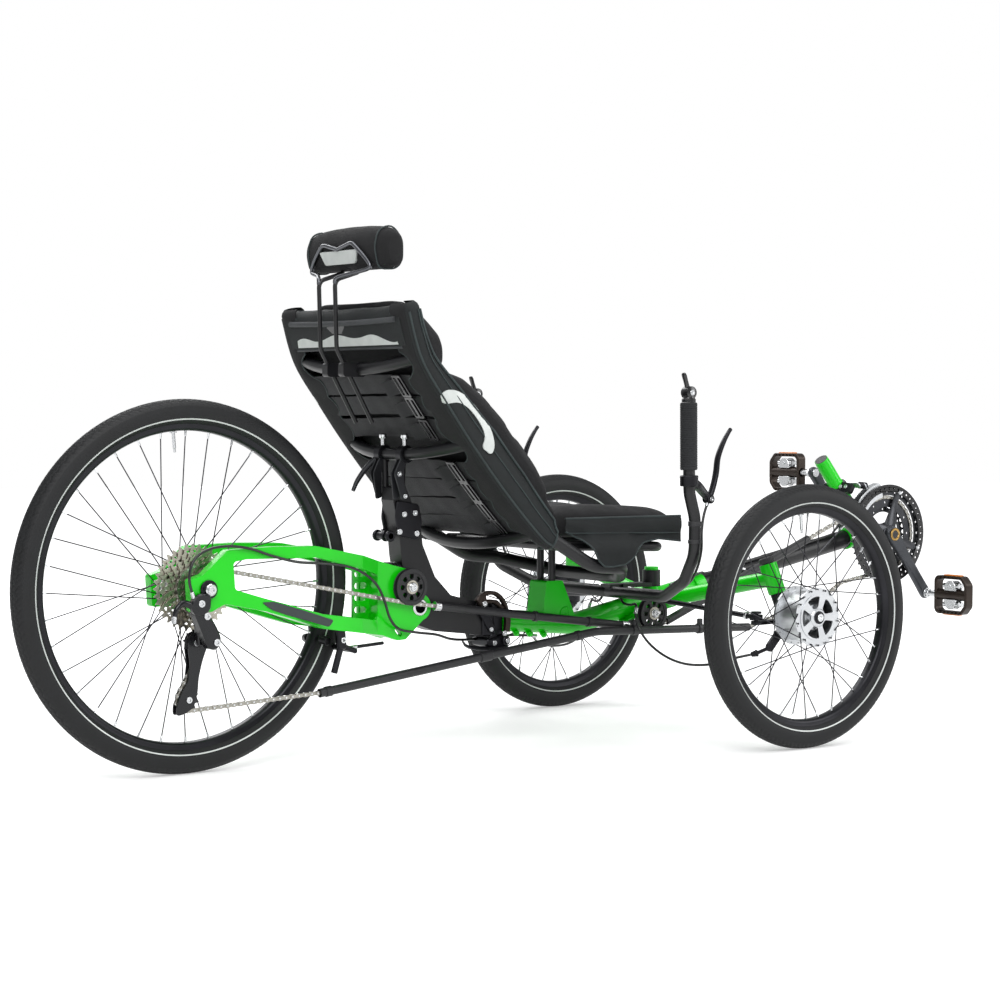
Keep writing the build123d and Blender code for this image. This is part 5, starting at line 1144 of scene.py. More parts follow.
chainLine = []
for i, (x, y, z, radius, turnWay) in enumerate(chainStops):
    before, after = chainStops[i - 1], chainStops[(i + 1) % len(chainStops)]
    angleIn, angleOut = runAngle(before, chainStops[i]), runAngle(chainStops[i], after)
    if radius:
        turned = angleOut - angleIn
        while turned * turnWay < 0:
            turned += tau * turnWay
        steps = max(2, int(abs(turned) * radius / 8))
        for k in range(steps + 1):
            angle = angleIn + turned * k / steps
            chainLine.append(at(x, y + turnWay * radius * math.sin(angle), z - turnWay * radius * math.cos(angle)))
    else:
        corner = at(x, y, z)
        toBefore = (at(*before[:3]) - corner).normalized()
        toAfter = (at(*after[:3]) - corner).normalized()
        cut = max(4.0, size["cornerRadius"] * math.tan((math.pi - toBefore.angle(toAfter)) / 2))
        for k in range(7):
            t = k / 6
            chainLine.append((corner + toBefore * cut) * (1 - t) ** 2 + corner * 2 * t * (1 - t)
                             + (corner + toAfter * cut) * t ** 2)
chainLine.append(chainLine[0])
chainLength = sum((b - a).length for a, b in zip(chainLine, chainLine[1:]))
linkCount = 2 * round(chainLength / layout["pitch"] / 2)
linkPoints = []
walked, target = 0.0, 0.0
for a, b in zip(chainLine, chainLine[1:]):
    length = (b - a).length
    while target <= walked + length and len(linkPoints) < linkCount:
        linkPoints.append(a + (b - a) * ((target - walked) / length))
        target += chainLength / linkCount
    walked += length
plates, pins = newShape(), newShape()
for i, start in enumerate(linkPoints):
    end = linkPoints[(i + 1) % linkCount]
    run = end - start
    length = run.length
    run.normalize()
    over = stepX(1).cross(run).normalized()
    tall = size["plateHeight"]
    outline = []
    for middle, eighths, waist in ((0, (2, 3, 4, 5, 6), -size["waist"]), (length, (-2, -1, 0, 1, 2), size["waist"])):
        outline += [(middle + tall * math.cos(math.pi * s / 4), tall * math.sin(math.pi * s / 4)) for s in eighths]
        outline.append((length / 2, waist))
    offset = 1.5 if i % 2 else 2.5

    def linkPlace(u, v, w):
        return start + run * u + over * v + stepX(w)

    for low in (offset, -offset - size["plate"]):
        addPlate(plates, [outline], low, low + size["plate"], linkPlace)
    for half, radius, steps in ((1.5, size["roller"], 10), (3.8, 1.8, 8)):
        addTube(pins, [start + stepX(-half), start + stepX(half)], radius, steps)
placeShape(plates, "chainPlates", chainSteel, "frame", ["chain"], sharp=30)
placeShape(pins, "chainPins", stainlessSteel, "frame")
print("chain made", linkCount)

# Cranks: rings, spider, guard and arms

crankSizes = {
    "length": 165.0, "drop": 51.5, "first": 20.0, "arms": 4, "guardOuter": 106.0, "guardInner": 90.5, "ringThick": 2.2,
    # each ring's offset from the chain, teeth and inner radius
    "rings": ((0, 39, 58.0), (-6, 50, 83.0), (6.6, 30, 47.0)),
}
pedalSizes = {"offset": 149, "thick": 21.0, "teeth": 6, "toothStep": 11, "toothWidth": 3.4}
bottomBracket = at(0, layout["crankDistance"], layout["crankHeight"])
size = crankSizes
ringPlace = facing(bottomBracket, (1, 0, 0))
rings, spider, guard, ringPins = (newShape() for i in range(4))
for offset, teeth, inner in size["rings"]:
    middle = chainX + offset
    reachOut = teeth * layout["pitch"] / tau
    loops = [toothed(teeth, first=teeth), circle(0, 0, inner, 72)]
    loops += holeRing((reachOut + inner) / 2 - 1, 2.6, 24 if teeth > 45 else 12)
    addPlate(rings, loops, middle - size["ringThick"] / 2, middle + size["ringThick"] / 2, ringPlace)
placeShape(rings, "chainRings", greyAnodised, "cranks", ["crankset"], sharp=30)
loops = [circle(0, 0, size["guardOuter"], 96), circle(0, 0, size["guardInner"], 96)] + holeRing(97.5, 2.4, 44)
addPlate(guard, loops, -58.6, -55.8, ringPlace, 0.8)
placeShape(guard, "chainGuard", glossPlastic, "cranks")
spiderCorners = ((-1, 0.25), (-0.7, 0), (0.7, 0), (1, 0.25), (1, 0.75), (0.7, 1), (-0.7, 1), (-1, 0.75))
for k in range(size["arms"]):
    angle = math.radians(size["first"]) + tau * k / size["arms"]
    way = Vector((0, math.cos(angle), math.sin(angle)))
    sideways = Vector((0, -math.sin(angle), math.cos(angle)))
    loops = []
    for reachOut, half, low, high in ((14, 15, -62, -46), (28, 13, -60, -47.5), (48, 9.5, -56, -48.6),
                                      (66, 8.5, -54, -48.8), (84, 7.5, -54, -49.2), (97, 7, -55.6, -52),
                                      (102, 4, -55.4, -53)):
        spot = bottomBracket + way * reachOut
        loops.append([spot + sideways * (half * su) + stepX(low + (high - low) * sv)
                      for su, sv in spiderCorners])
    addLoops(spider, loops)
    for reachOut, low, high, radius in ((66, -47.9, -42.6, 4.6), (93, -59.6, -54.0, 4.2), (56, -43.5, -36.4, 4.0)):
        spot = bottomBracket + way * reachOut
        addRod(ringPins, spot + stepX(low), spot + stepX(high), radius, 16, 0.5)
        addBolt(ringPins, spot + stepX(low), (-1, 0, 0), radius - 0.4, 1.2)
addLathe(spider, bottomBracket, [(-64, 12.5), (-64, 17), (-60, 20), (-52, 25), (-47, 25), (-46, 12.5)], steps=48)
placeShape(spider, "crankSpider", greyAnodised, "cranks", sharp=40)
placeShape(ringPins, "chainRingBolts", stainlessSteel, "cranks")
armCorners = ((-1, 0.22), (-0.9, 0.06), (-0.72, 0), (0.72, 0), (0.9, 0.06), (1, 0.22), (1, 0.72), (0.9, 0.92),
              (0.66, 1), (0.3, 0.93), (-0.3, 0.93), (-0.66, 1), (-0.9, 0.92), (-1, 0.72))
for name, side, replaced in (("right", -1, []), ("left", 1, ["left_crank"])):
    arm, trim = newShape(), newShape()
    angle = math.radians(size["drop"])
    way = Vector((0, side * math.cos(angle), side * math.sin(angle)))
    sideways = stepX(1).cross(way)
    loops = []
    for along, half, low, high in ((-19, 5, 64, 70), (-16.5, 11, 61, 73), (-9, 15.5, 59.5, 75.5), (0, 17, 59, 76),
                                   (14, 16, 59, 76), (34, 13.6, 59.6, 75), (70, 12.2, 60.4, 74), (120, 11.4, 60.6, 74),
                                   (148, 12, 60.2, 74), (165, 13, 60, 74), (173, 10.5, 60.5, 73.5), (178, 5, 63, 71)):
        spot = bottomBracket + way * along
        loops.append([spot + sideways * (half * su) + stepX(side * (low + (high - low) * sv))
                      for su, sv in armCorners])
    addLoops(arm, loops)
    if side > 0:
        addLathe(arm, bottomBracket, [(36, 12.3), (36, 20), (58, 21), (60, 17), (60, 12.3)], steps=40)
    placeShape(arm, name + "CrankArm", satinGrey, "cranks", replaced, sharp=40, smoothing=1)
    addLathe(trim, bottomBracket, [(side * 75.2, 8), (side * 75.2, 13.2), (side * 77.2, 13.6), (side * 78.4, 12.2),
                                   (side * 78, 9.2), (side * 76.6, 8)], steps=40)
    placeShape(trim, name + "CrankPreloadRing", brassFitting, "cranks")
    trim = newShape()
    addLathe(trim, bottomBracket, [(side * 74.6, 0.5), (side * 74.6, 8.6), (side * 77.0, 8.4), (side * 76.4, 0.5)],
             steps=24)
    placeShape(trim, name + "CrankCap", nylonPlastic, "cranks")
    trim = newShape()
    eye = bottomBracket + way * size["length"]
    for inner, outer, radius, steps in ((73.6, 75.0, 11.0, 28), (59.4, 61.0, 9.0, 24)):
        addRod(trim, eye + stepX(side * inner), eye + stepX(side * outer), radius, steps, 0.4)
    addBolt(trim, bottomBracket + way * 24 - sideways * 15.6 + stepX(side * 67), -sideways, 3.4, 2.6)
    placeShape(trim, name + "CrankEyeRing", stainlessSteel, "cranks")

    # the pedal on that arm: a cage of bent bar round a sprung cleat plate, the same on both faces
    body = name + "_pedal_body"
    middle = eye + stepX(side * pedalSizes["offset"])
    cage, springs, amber, axle = (newShape() for i in range(4))

    def facePlace(u, v, w):
        return middle + Vector((side * u, w, v))

    outer = [(-46, -33), (-38, -41), (32, -41), (47, -24), (47, 24), (32, 41), (-38, 41), (-46, 33)]
    inner = [(-38, -12), (-38, -28), (-32, -34), (28, -34), (39, -21), (39, 21), (28, 34), (-32, 34),
             (-38, 28), (-38, 12)]
    half = pedalSizes["thick"] / 2
    addPlate(cage, [rounded(outer, 5, 3), rounded(inner, 4, 3)], -half, half, facePlace, 1.2)
    addRod(cage, middle + stepX(side * -46), middle + stepX(side * 45), 11.5, 24, 2)
    for face in (-1, 1):
        for edgeSide in (-1, 1):
            for k in range(pedalSizes["teeth"]):
                u = -30 + pedalSizes["toothStep"] * k
                end = u + pedalSizes["toothWidth"]
                tooth = [(u, edgeSide * 35), (end, edgeSide * 35), (end, edgeSide * 40), (u, edgeSide * 40)]
                addPlate(cage, [tooth], *sorted((face * 10, face * 12.6)), facePlace)
            jaw = rounded([(-17, edgeSide * 9), (17, edgeSide * 9), (13, edgeSide * 25), (6, edgeSide * 30),
                           (-6, edgeSide * 30), (-13, edgeSide * 25)], 3, 2)
            addPlate(springs, [jaw], *sorted((face * 7, face * 11)), facePlace, 0.7)
            addTube(springs, [facePlace(u, edgeSide * 20, face * 5) for u in (-21, 21)], 5.2, 14)
        addBolt(springs, facePlace(0, face * 20, face * 11), (0, face, 0), 3.4, 1.8)
    for edgeSide in (-1, 1):
        addPlate(amber, [rounded([(-24, -6.5), (22, -6.5), (22, 6.5), (-24, 6.5)], 2, 2)], 0, 3.2,
                 facing(middle + Vector((0, 0, edgeSide * 40)), (0, 0, edgeSide), (0, 1, 0)), 0.6)
    placeShape(cage, name + "PedalCage", brownBlackAlloy, body, [name + "_pedal"])
    placeShape(springs, name + "PedalCleatSprings", stainlessSteel, body)
    placeShape(amber, name + "PedalReflectors", amberPlastic, body)
    for inner, outer, radius, steps, edge in ((75.2, 104, 7.2, 20, 0.8), (76, 82, 9.4, 6, 0.3)):
        addRod(axle, eye + stepX(side * inner), eye + stepX(side * outer), radius, steps, edge)
    placeShape(axle, name + "PedalAxle", stainlessSteel, body)
cups = newShape()
for side in (-1, 1):
    addLathe(cups, bottomBracket, [(side * 34, 12.4), (side * 34, 21), (side * 36, 22), (side * 43, 22),
                                   (side * 44.5, 19), (side * 44.5, 12.4)], steps=30)
placeShape(cups, "bottomBracketCups", blackAnodised, "frame")
print("cranks and pedals made")

# Front mech on the post, and the post's dark end

frontMechSizes = {"share": 0.58, "cageOuter": 112, "cageInner": 80, "bridgeInner": 109, "bridgeTurn": 30}
size = frontMechSizes
postFoot, postTip = at(0, -527, 392.5), at(0, -413, 530)
postRun = (postTip - postFoot).normalized()
mechSpot = postFoot + (postTip - postFoot) * size["share"]
frontMech, mechLinks, postEnd = (newShape() for i in range(3))
addLathe(frontMech, mechSpot, bothEnds([(-11, 16.6), (-11, 21), (-8, 22)]), postRun, 40)
addPlate(frontMech, [rounded([(-9, -10), (9, -10), (9, 10), (-9, 10)], 3, 2)], 16, 32,
         facing(mechSpot, (0.6, 0.8, 0.1)), 1.5)


def cageArc(radius, angles):
    # Points on a circle about the crank axle, by angles from straight up.
    return [(radius * math.sin(math.radians(a)), radius * math.cos(math.radians(a))) for a in angles]


def cagePlace(u, v, w):
    return bottomBracket + Vector((w, u, v))


cageLine = rounded(cageArc(size["cageOuter"], range(12, 53, 5)) + cageArc(size["cageInner"], range(50, 9, -5)), 4, 2)
for low, high in ((-53.6, -51.9), (-37.6, -35.9)):
    addPlate(mechLinks, [cageLine], low, high, cagePlace)
bridge = cageArc(size["cageOuter"], (14, 22, size["bridgeTurn"]))
addPlate(mechLinks, [bridge + cageArc(size["bridgeInner"], (size["bridgeTurn"], 22, 14))], -53, -36.5, cagePlace)
cageMiddle = cagePlace(*bridge[-1], -36)
overPost = postRun.cross(stepX(1))
for stand, reachUp in ((-6, 4), (7, 16)):
    addPlate(mechLinks, [rounded([(-6, -7), (36, -7), (36, 7), (-6, 7)], 6, 3)], stand - 1.5, stand + 1.5,
             lambda u, v, w: cageMiddle + stepX(u) + postRun * (v + reachUp) + overPost * w, 0.5)
addRod(frontMech, cageMiddle + Vector((2, -10, 6)), cageMiddle + Vector((2, 12, 8)), 7.5, 18, 1.5)
addRod(frontMech, mechSpot + Vector((-20, -6, -4)), mechSpot + Vector((-20, 12, 6)), 8.5, 18, 2)
addPlate(frontMech, [rounded([(-16, -12), (14, -10), (18, 8), (-10, 14)], 4, 3)], -8, 8,
         facing(mechSpot + Vector((-25, 2, 2)), (-0.2, 0.9, 0.4)), 2)
for shift in (Vector((-20, 13, 6)), Vector((-31, 8, 6)), Vector((6, 17, 10))):
    addBolt(mechLinks, mechSpot + shift, (0, 0.9, 0.4), 4.2, 3.0)
placeShape(frontMech, "frontMechBody", blackAnodised, "frame", ["front_mech"])
placeShape(mechLinks, "frontMechCage", castAluminium, "frame")
addRod(postEnd, postTip + postRun * 6.6, postTip + postRun * 7.8, 14.2, 32, 0.4)
placeShape(postEnd, "postEndCap", nylonPlastic, "frame")

# Rear mech: knuckle, parallelogram and cage with two toothed wheels

rearMechSizes = {"wheelTeeth": 10, "toothHeight": 2.6, "wheelThick": 2.2, "plates": (-52.4, -39.2), "plateThick": 2.2}
size = rearMechSizes
rearMech, mechPlates, jockeys, mechBolts = (newShape() for i in range(4))
addSidePlate(rearMech, [(1115, 318), (1138, 322), (1156, 307), (1151, 287), (1132, 280), (1117, 292)], 8, 4,
             -96, -83, 2.5)
addSidePlate(rearMech, [(1148, 290), (1124, 294), (1104, 264), (1093, 240), (1103, 222), (1120, 225), (1132, 254)], 9,
             4, -94, -70, 4)
addSidePlate(rearMech, [(1128, 268), (1104, 262), (1098, 236), (1124, 226)], 8, 4, -66, -52, 2)
addTube(rearMech, curvedLine([at(-88, 1150, 300), at(-90, 1168, 306), at(-92, 1182, 296), at(-92, 1186, 282)], 5),
        [6.5 - 0.2 * k for k in range(16)], 14)
addRod(mechBolts, at(-92, 1186, 284), at(-92, 1187, 272), 4.4, 16)
cageLine = rounded([(1136, 246), (1120, 254), (1102, 246), (1100, 226), (1110, 200), (1117, 172),
                    (1119, 146), (1126, 122), (1142, 112), (1160, 108), (1160, 126), (1150, 148), (1138, 166),
                    (1134, 196), (1138, 224)], 7, 3)
for low in size["plates"]:
    addPlate(mechPlates, [cageLine], low, low + size["plateThick"], sidePlace, 0.4)
for y, z in jockeyPlaces:
    holes = [[(y + u, z + v) for u, v in hole] for hole in holeRing(10.5, 2.6, 5)]
    wheelLine = toothed(size["wheelTeeth"], y, z, 0.2, size["toothHeight"])
    addPlate(jockeys, [wheelLine, circle(y, z, 4.1, 16)] + holes, chainX - size["wheelThick"] / 2,
             chainX + size["wheelThick"] / 2, sidePlace)
    addPin(jockeys, y, z, -49.8, -39.4, 5.4, 18)
    addBolt(mechBolts, at(-52.2, y, z), (-1, 0, 0), 5.6, 2.6)
for y, z in ((1136, 304), (1124, 282), (1105, 236)):
    addBolt(mechBolts, at(-95.6 if z > 290 else -93.6, y, z), (-1, 0, 0), 6.2, 3.0)
placeShape(rearMech, "rearMechBody", glossBlackAlloy, "frame", ["rear_mech"])
placeShape(mechPlates, "rearMechCage", glossBlackAlloy, "frame")
placeShape(jockeys, "rearMechJockeys", nylonPlastic, "frame")
placeShape(mechBolts, "rearMechBolts", stainlessSteel, "frame")

# Idlers: spoked wheels with a silver bearing ring

idlerSizes = {"windows": 8, "windowOuter": 24.5, "windowInner": 15.5, "discRadius": 27.5, "bore": 5.2, "half": 5.0}
size = idlerSizes
for name, (y, z) in idlerPlaces.items():
    body = name + "_idler_wheel"
    wheel, bearing, boltHead = (newShape() for i in range(3))
    centre = at(chainX, y, z)
    addLathe(wheel, centre, bothEnds([(-6.5, 27), (-6.5, 33.4), (-5.6, 34), (-4, 33), (-3.2, 26)]))
    loops = [circle(0, 0, size["discRadius"], 64), circle(0, 0, size["bore"], 24)]
    corners = [(size["windowOuter"], -0.2), (size["windowOuter"], 0.2), (size["windowInner"], 0.24),
               (size["windowInner"], -0.24)]
    for k in range(size["windows"]):
        mid = tau * k / size["windows"]
        loops.append(rounded([(r * math.cos(mid + a), r * math.sin(mid + a)) for r, a in corners], 3, 3))
    addPlate(wheel, loops, -size["half"], size["half"], facing(centre, (1, 0, 0)), 0.5)
    placeShape(wheel, name + "IdlerWheel", nylonPlastic, body, [name + "_idler"])
    addLathe(bearing, centre, [(-7.0, 8.2), (-7.0, 12.6), (-5.8, 13), (-4.9, 12.6), (-4.9, 8.2)], steps=36)
    placeShape(bearing, name + "IdlerBearing", nickelSteel, body)
    addPin(boltHead, y, z, chainX - 5.4, chainX - 10.9, 8.8, 28, 1.0)
    addBolt(boltHead, centre + stepX(-10.8), (-1, 0, 0), 6.6, 3.2)
    placeShape(boltHead, name + "IdlerBolt", stainlessSteel, "frame")
print("mechs and idlers made")

# Chain tubes' bands and clips

tubeBands, tubeClips = newShape(), newShape()
powerWay = Vector((0, 580, 75)).normalized()


def powerAt(distance):
    # A place on the driving run's tube.
    return at(chainX, distance, 206.2 + (distance - 95.8) * 0.1293)


for start, end, radius in ((156.5, 173, 9.4), (606, 618.5, 9.0)):
    addRod(tubeBands, powerAt(start), powerAt(end), radius, 32, 0.6)
placeShape(tubeBands, "powerTubeBand", stainlessSteel, "frame")


def returnAt(distance):
    # A place on the return run's tube.
    return at(returnX, distance, 131 + (880 - distance) * 78 / 630)


for distance, length, radius in ((528, 26, 10.0), (868, 13, 9.4), (300, 10, 9.6)):
    addRod(tubeClips, returnAt(distance), returnAt(distance - length), radius, 28, 0.8)
for distance in (150, -20):
    spot = at(returnX, distance, 209 - (250 - distance) * 11 / 397 + (1.0 if distance > 0 else 0))
    addRod(tubeClips, spot, spot + Vector((0, 11, 0.3)), 10.4, 28, 0.8)
    addPlate(tubeClips, [rounded([(-4, 8), (4, 8), (4, 20), (-4, 20)], 2, 2)], 0, 9, facing(spot, (0, 1, 0)), 0.5)
for distance in (380, 250):
    spot = powerAt(distance)
    addRod(tubeClips, spot, spot + powerWay * 8, 10.0, 28, 0.8)
placeShape(tubeClips, "chainTubeClips", nylonPlastic, "frame")

# Folding joint: two blocks, a slotted over-centre arm, links and a long release blade

hingeSizes = {"half": 24, "pinDistance": 467, "armLow": -37, "armHigh": -27, "armBorder": 7.6}
size = hingeSizes
hinge, hingeArm, hingeBolts = (newShape() for i in range(3))
addPlate(hinge, [rounded([(445, 209), (466.4, 208), (466.4, 269), (445, 264)], 3, 2)], -size["half"], size["half"],
         sidePlace, 2.2)
addPlate(hinge, [rounded([(467.2, 208), (492, 209), (492, 273), (467.2, 269)], 3, 2)], -size["half"], size["half"],
         sidePlace, 2.2)
addPin(hinge, size["pinDistance"], 206, 25, -25, 8, 24, 1)
addPin(hinge, size["pinDistance"], 268, -23, -31, 9.5, 24, 1)
armLine = curvedLine([(510, 272, 0), (496, 282, 0), (472, 282, 0), (452, 266, 0), (441, 242, 0), (443, 216, 0)], 6)
outline, innerLine = [], []
for i, spot in enumerate(armLine):
    before, after = armLine[max(i - 1, 0)], armLine[min(i + 1, len(armLine) - 1)]
    normal = Vector((before.y - after.y, after.x - before.x)).normalized()
    share = i / (len(armLine) - 1)
    half = 5.5 + 6.5 * math.sin(math.pi * min(1, share * 1.3 + 0.1)) ** 0.7
    outline.append((spot.xy + normal * half, spot.xy - normal * half))
    if 6 < i < len(armLine) - 6:
        inset = half - size["armBorder"]
        innerLine.append((spot.xy + normal * inset, spot.xy - normal * inset))
slot = rounded([tuple(a) for a, b in innerLine] + [tuple(b) for a, b in reversed(innerLine)], 1.5, 2)
addPlate(hingeArm, [[tuple(a) for a, b in outline] + [tuple(b) for a, b in reversed(outline)], slot],
         size["armLow"], size["armHigh"], sidePlace, 1.4)
addSidePlate(hinge, [(500, 282), (512, 270), (494, 240), (476, 214), (464, 222), (482, 256)], 5, 3, -27, -23.6, 0.8)
for y, z, radius in ((499, 272, 5.2), (452, 214, 5.2), (476, 222, 4.4)):
    addBolt(hingeBolts, at(size["armLow"] if radius > 5 else size["armHigh"], y, z), (-1, 0, 0), radius, 3.4)
addSidePlate(hinge, [(440, 212), (462, 206), (488, 204), (486, 190), (462, 184), (438, 192)], 5, 3, -33, 22, 2.5)
addPin(hinge, 448, 200, -34, -42, 8.5, 24, 1.5)
for y, z in ((448, 200), (472, 196)):
    addBolt(hingeBolts, at(-42 if y == 448 else -33, y, z), (-1, 0, 0), 5.0, 3.0)
bladeLoops = []
for y, z, half, thick in ((440, 188, 8, 4.5), (456, 186, 10, 5), (480, 185, 10, 4.5), (505, 187, 9, 4),
                          (524, 190, 7, 3.2), (535, 195, 4.5, 2.4), (541, 203, 2.5, 1.8)):
    bladeLoops.append([at(-26 + half * su, y, z + thick * sv) for su, sv in
                       ((-1, -0.4), (-0.7, -1), (0.7, -1), (1, -0.4), (1, 0.4), (0.7, 1), (-0.7, 1), (-1, 0.4))])
addLoops(hinge, bladeLoops)
placeShape(hinge, "foldHingeBlocks", blackAnodised, "frame", ["fold_hinge"])
placeShape(hingeArm, "foldHingeArm", brownBlackAlloy, "frame")
placeShape(hingeBolts, "foldHingeBolts", stainlessSteel, "frame")
beamBosses = newShape()
for distance, z in ((404, 214), (372, 211), (338, 208)):
    addRod(beamBosses, at(-6, distance, z), at(-16, distance + 1, z - 6), 6.0, 20, 1)
    addRod(beamBosses, at(-16, distance + 1, z - 6), at(-18, distance + 1, z - 7), 3.4, 16, 0.4)
addLathe(beamBosses, at(-26, 296, 244), [(1, 1), (1, 13), (-1.6, 13), (-2.4, 12), (-2.4, 9.6), (-1.4, 9),
                                         (-1.4, 1)], steps=32)
placeShape(beamBosses, "beamBosses", limePowderCoat, "frame")
print("hinge made")

# Rear carrier's fittings, struts to the seat, and the swing pivot

carrierSizes = {"plateInner": 19.8, "plateOuter": 25, "strutX": 36, "strutBoltX": 43, "folds": 5, "foldPitch": 6.4}
size = carrierSizes
carrierTrim, carrierBolts, strutPlates, pivotRing = (newShape() for i in range(4))
carrierPlate = [(640, 462), (688, 470), (692, 436), (684, 404), (640, 396), (632, 430)]
for low, high in ((-size["plateOuter"], -size["plateInner"]), (size["plateInner"], size["plateOuter"])):
    addPlate(carrierTrim, [rounded(carrierPlate, 6, 3)], low, high, sidePlace, 1.4)
addPin(carrierTrim, 700, 404, -22, 26, 7.0, 24, 1.4)
for x in (-22, -8, 20):
    addPin(carrierTrim, 700, 404, x, x + 6, 10.5, 24, 1.6)
for k in range(size["folds"]):
    addLathe(carrierTrim, at(0, 672 + size["foldPitch"] * k, 338), [(-2.6, 10), (-2.6, 15.4), (0, 17.6), (2.6, 15.4),
                                                                    (2.6, 10)], (0, 1, 0), 36)
for y, z in ((674, 444), (650, 446), (684, 412), (646, 408)):
    for side in (-1, 1):
        addBolt(carrierBolts, at(side * size["plateOuter"], y, z), (side, 0, 0), 5.4, 3.4)
for side in (1, -1):
    x = side * size["strutX"]
    addLathe(carrierTrim, at(x, 679.5, 554.5), bothEnds([(-9, 11.1), (-9, 15.4), (-7.6, 16.4)]), steps=36)
    addRod(carrierBolts, at(x, 679, 566), at(x, 680, 586), 4.2, 18, 1)
    addLathe(carrierBolts, at(x, 680, 588), [(-5, 0.4), (-5, 6), (-3, 7.2), (2, 7.2), (4.4, 5), (4.4, 0.4)],
             (0, 0, 1), 24)
    for low, foot in ((side * 41, 690), (side * 29, 700)):
        addSidePlate(strutPlates, [(672, 556), (690, 552), (706, 520), (foot, 470), (foot - 12, 474), (688, 520)], 5,
                     3, low - 1.8, low + 1.8, 0.6)
    for y, z, radius, height in ((697, 519, 5.0, 3.6), (684, 478, 4.4, 3.0)):
        addBolt(carrierBolts, at(side * size["strutBoltX"], y, z), (side, 0, 0), radius, height)
leverLine = curvedLine([at(44, 686, 548), at(52, 704, 530), at(56, 722, 506), at(54, 734, 486)], 6)
addTube(strutPlates, leverLine, [6.0 - 0.12 * k for k in range(len(leverLine))], 12)
placeShape(carrierTrim, "carrierFittings", blackAnodised, "frame")
placeShape(strutPlates, "seatStrutPlates", satinBlackAlloy, "frame")
placeShape(carrierBolts, "carrierBolts", stainlessSteel, "frame")
pivot = at(0, 645, 272)
for side in (1, -1):
    addLathe(pivotRing, pivot, [(side * 35.8, 11.2), (side * 35.8, 15.6), (side * 37.6, 15.6), (side * 38.6, 14.4),
                                (side * 38.6, 11.2)], steps=48)
placeShape(pivotRing, "swingPivotRings", stainlessSteel, "frame")
stayPatch = newShape()
addSidePlate(stayPatch, [(862, 262), (872, 250), (960, 276), (990, 286), (1010, 300), (985, 300), (930, 284)], 5, 3,
             -84.4, -82.2, 0.5)
placeShape(stayPatch, "staySlapPatch", rubberPatch, "frame")
dropouts = newShape()
for side, end in ((-1, -90), (1, 86)):
    addPin(dropouts, layout["rearDistance"], layout["rearRadius"], end - side * 2, end + side * 4.6, 10.6, 32, 1.6)
    addBolt(dropouts, at(end + side * 4.4, layout["rearDistance"], layout["rearRadius"]), (side, 0, 0), 7.4, 3.4)
placeShape(dropouts, "rearAxleNuts", stainlessSteel, "frame")
axleWasher = newShape()
addPin(axleWasher, layout["rearDistance"], layout["rearRadius"], -82.4, -86.5, 16.5, 36, 1)
placeShape(axleWasher, "rearAxleWasher", blackAnodised, "frame")
brakeTrim, brakeBolts = newShape(), newShape()
for side in (1, -1):
    addRod(brakeTrim, at(side * 46, 826, 246), at(side * 46, 822, 206), 9.4, 24, 1.5)
    addRod(brakeTrim, at(side * 38, 846, 220), at(side * 22, 850, 222), 8.0, 24, 1)
    addBolt(brakeBolts, at(side * 54, 824, 222), (side, 0, 0), 5.4, 3.6)
addPin(brakeTrim, 822, 208, -44, 44, 5.0, 18, 1)
addRod(brakeBolts, at(-34, 806, 204), at(-34, 782, 206), 4.0, 18, 1)
addRod(brakeTrim, at(-34, 784, 206), at(-34, 724, 210), 3.2, 14, 1)
placeShape(brakeTrim, "parkBrakeArms", blackAnodised, "frame")
placeShape(brakeBolts, "parkBrakeBolts", stainlessSteel, "frame")
print("carrier made")

# Cockpit: foam grips, bar-end levers, brake levers, clips and the cables

cockpit = {"barX": 335.0, "gripLow": 528.0, "gripHigh": 652.0, "leverX": 300, "cable": 2.5, "ferrule": 3.6,
           "boomSlope": 11.2, "kingpinLean": 15, "kingpinRake": 12}
size = cockpit
barRoute = ((300, 172.2, 469.6), (301, 184, 442), (309, 196, 412), (313, 200, 378), (303, 200, 346), (279, 196, 318),
            (240, 187, 300), (198, 176, 292), (150, 168, 290), (98, 161, 288.5), (48, 156, 288))
brakeRoute = ((72, 156, 252), (75, 160, 234), (86, 157, 207), (112, 152, 181), (158, 149, 161), (214, 149, 153),
              (266, 141, 156), (304, 126, 167))
shiftRoute = ((-89, 1147, 313), (-89.5, 1156, 345), (-88, 1147, 377), (-87, 1119, 395), (-87, 1079, 400),
              (-87, 1034, 394), (-86, 989, 380), (-84, 938, 368), (-76, 880, 363), (-66, 826, 356), (-59, 785, 342),
              (-57, 754, 319), (-56, 736, 288), (-52, 722, 257), (-45, 697, 235), (-41.5, 654, 226), (-33, 606, 219),
              (-16, 560, 207), (0, 510, 202), (8, 455, 202), (9, 400, 204), (8, 340, 199.5))
stemLoop = (barRoute[-1], (34, 157.5, 283), (29, 160, 270), (38, 161, 259), (54, 158, 256), (67, 155, 258),
            brakeRoute[0])
knuckleLoop = (brakeRoute[-1], (315, 119, 171), (326, 107, 175), (334, 94, 178))
boomRoute = ((-15, 22, 287), (-17, -22, 298), (-15.5, -60, 309), (-12, -108, 312.2), (-12, -398, 369.6),
             (-15, -434, 384), (-17, -452, 412), (-17, -457, 444))


def routeLine(route, side, steps):
    return curvedLine([at(side * x, distance, z) for x, distance, z in route], steps)


def laidCable(name, route, body, replaced, side=1):
    # A cable that stays on one body, with a ferrule at each end.
    shape, tips = newShape(), newShape()
    line = routeLine(route, side, 6)
    addTube(shape, line, cockpit["cable"], 12)
    placeShape(shape, name, cableJacket, body, replaced)
    for end, inner in ((line[0], line[2]), (line[-1], line[-3])):
        addRod(tips, end, end + (inner - end).normalized() * 12, cockpit["ferrule"], 16, 0.5)
    placeShape(tips, name + "Ferrules", stainlessSteel, body)


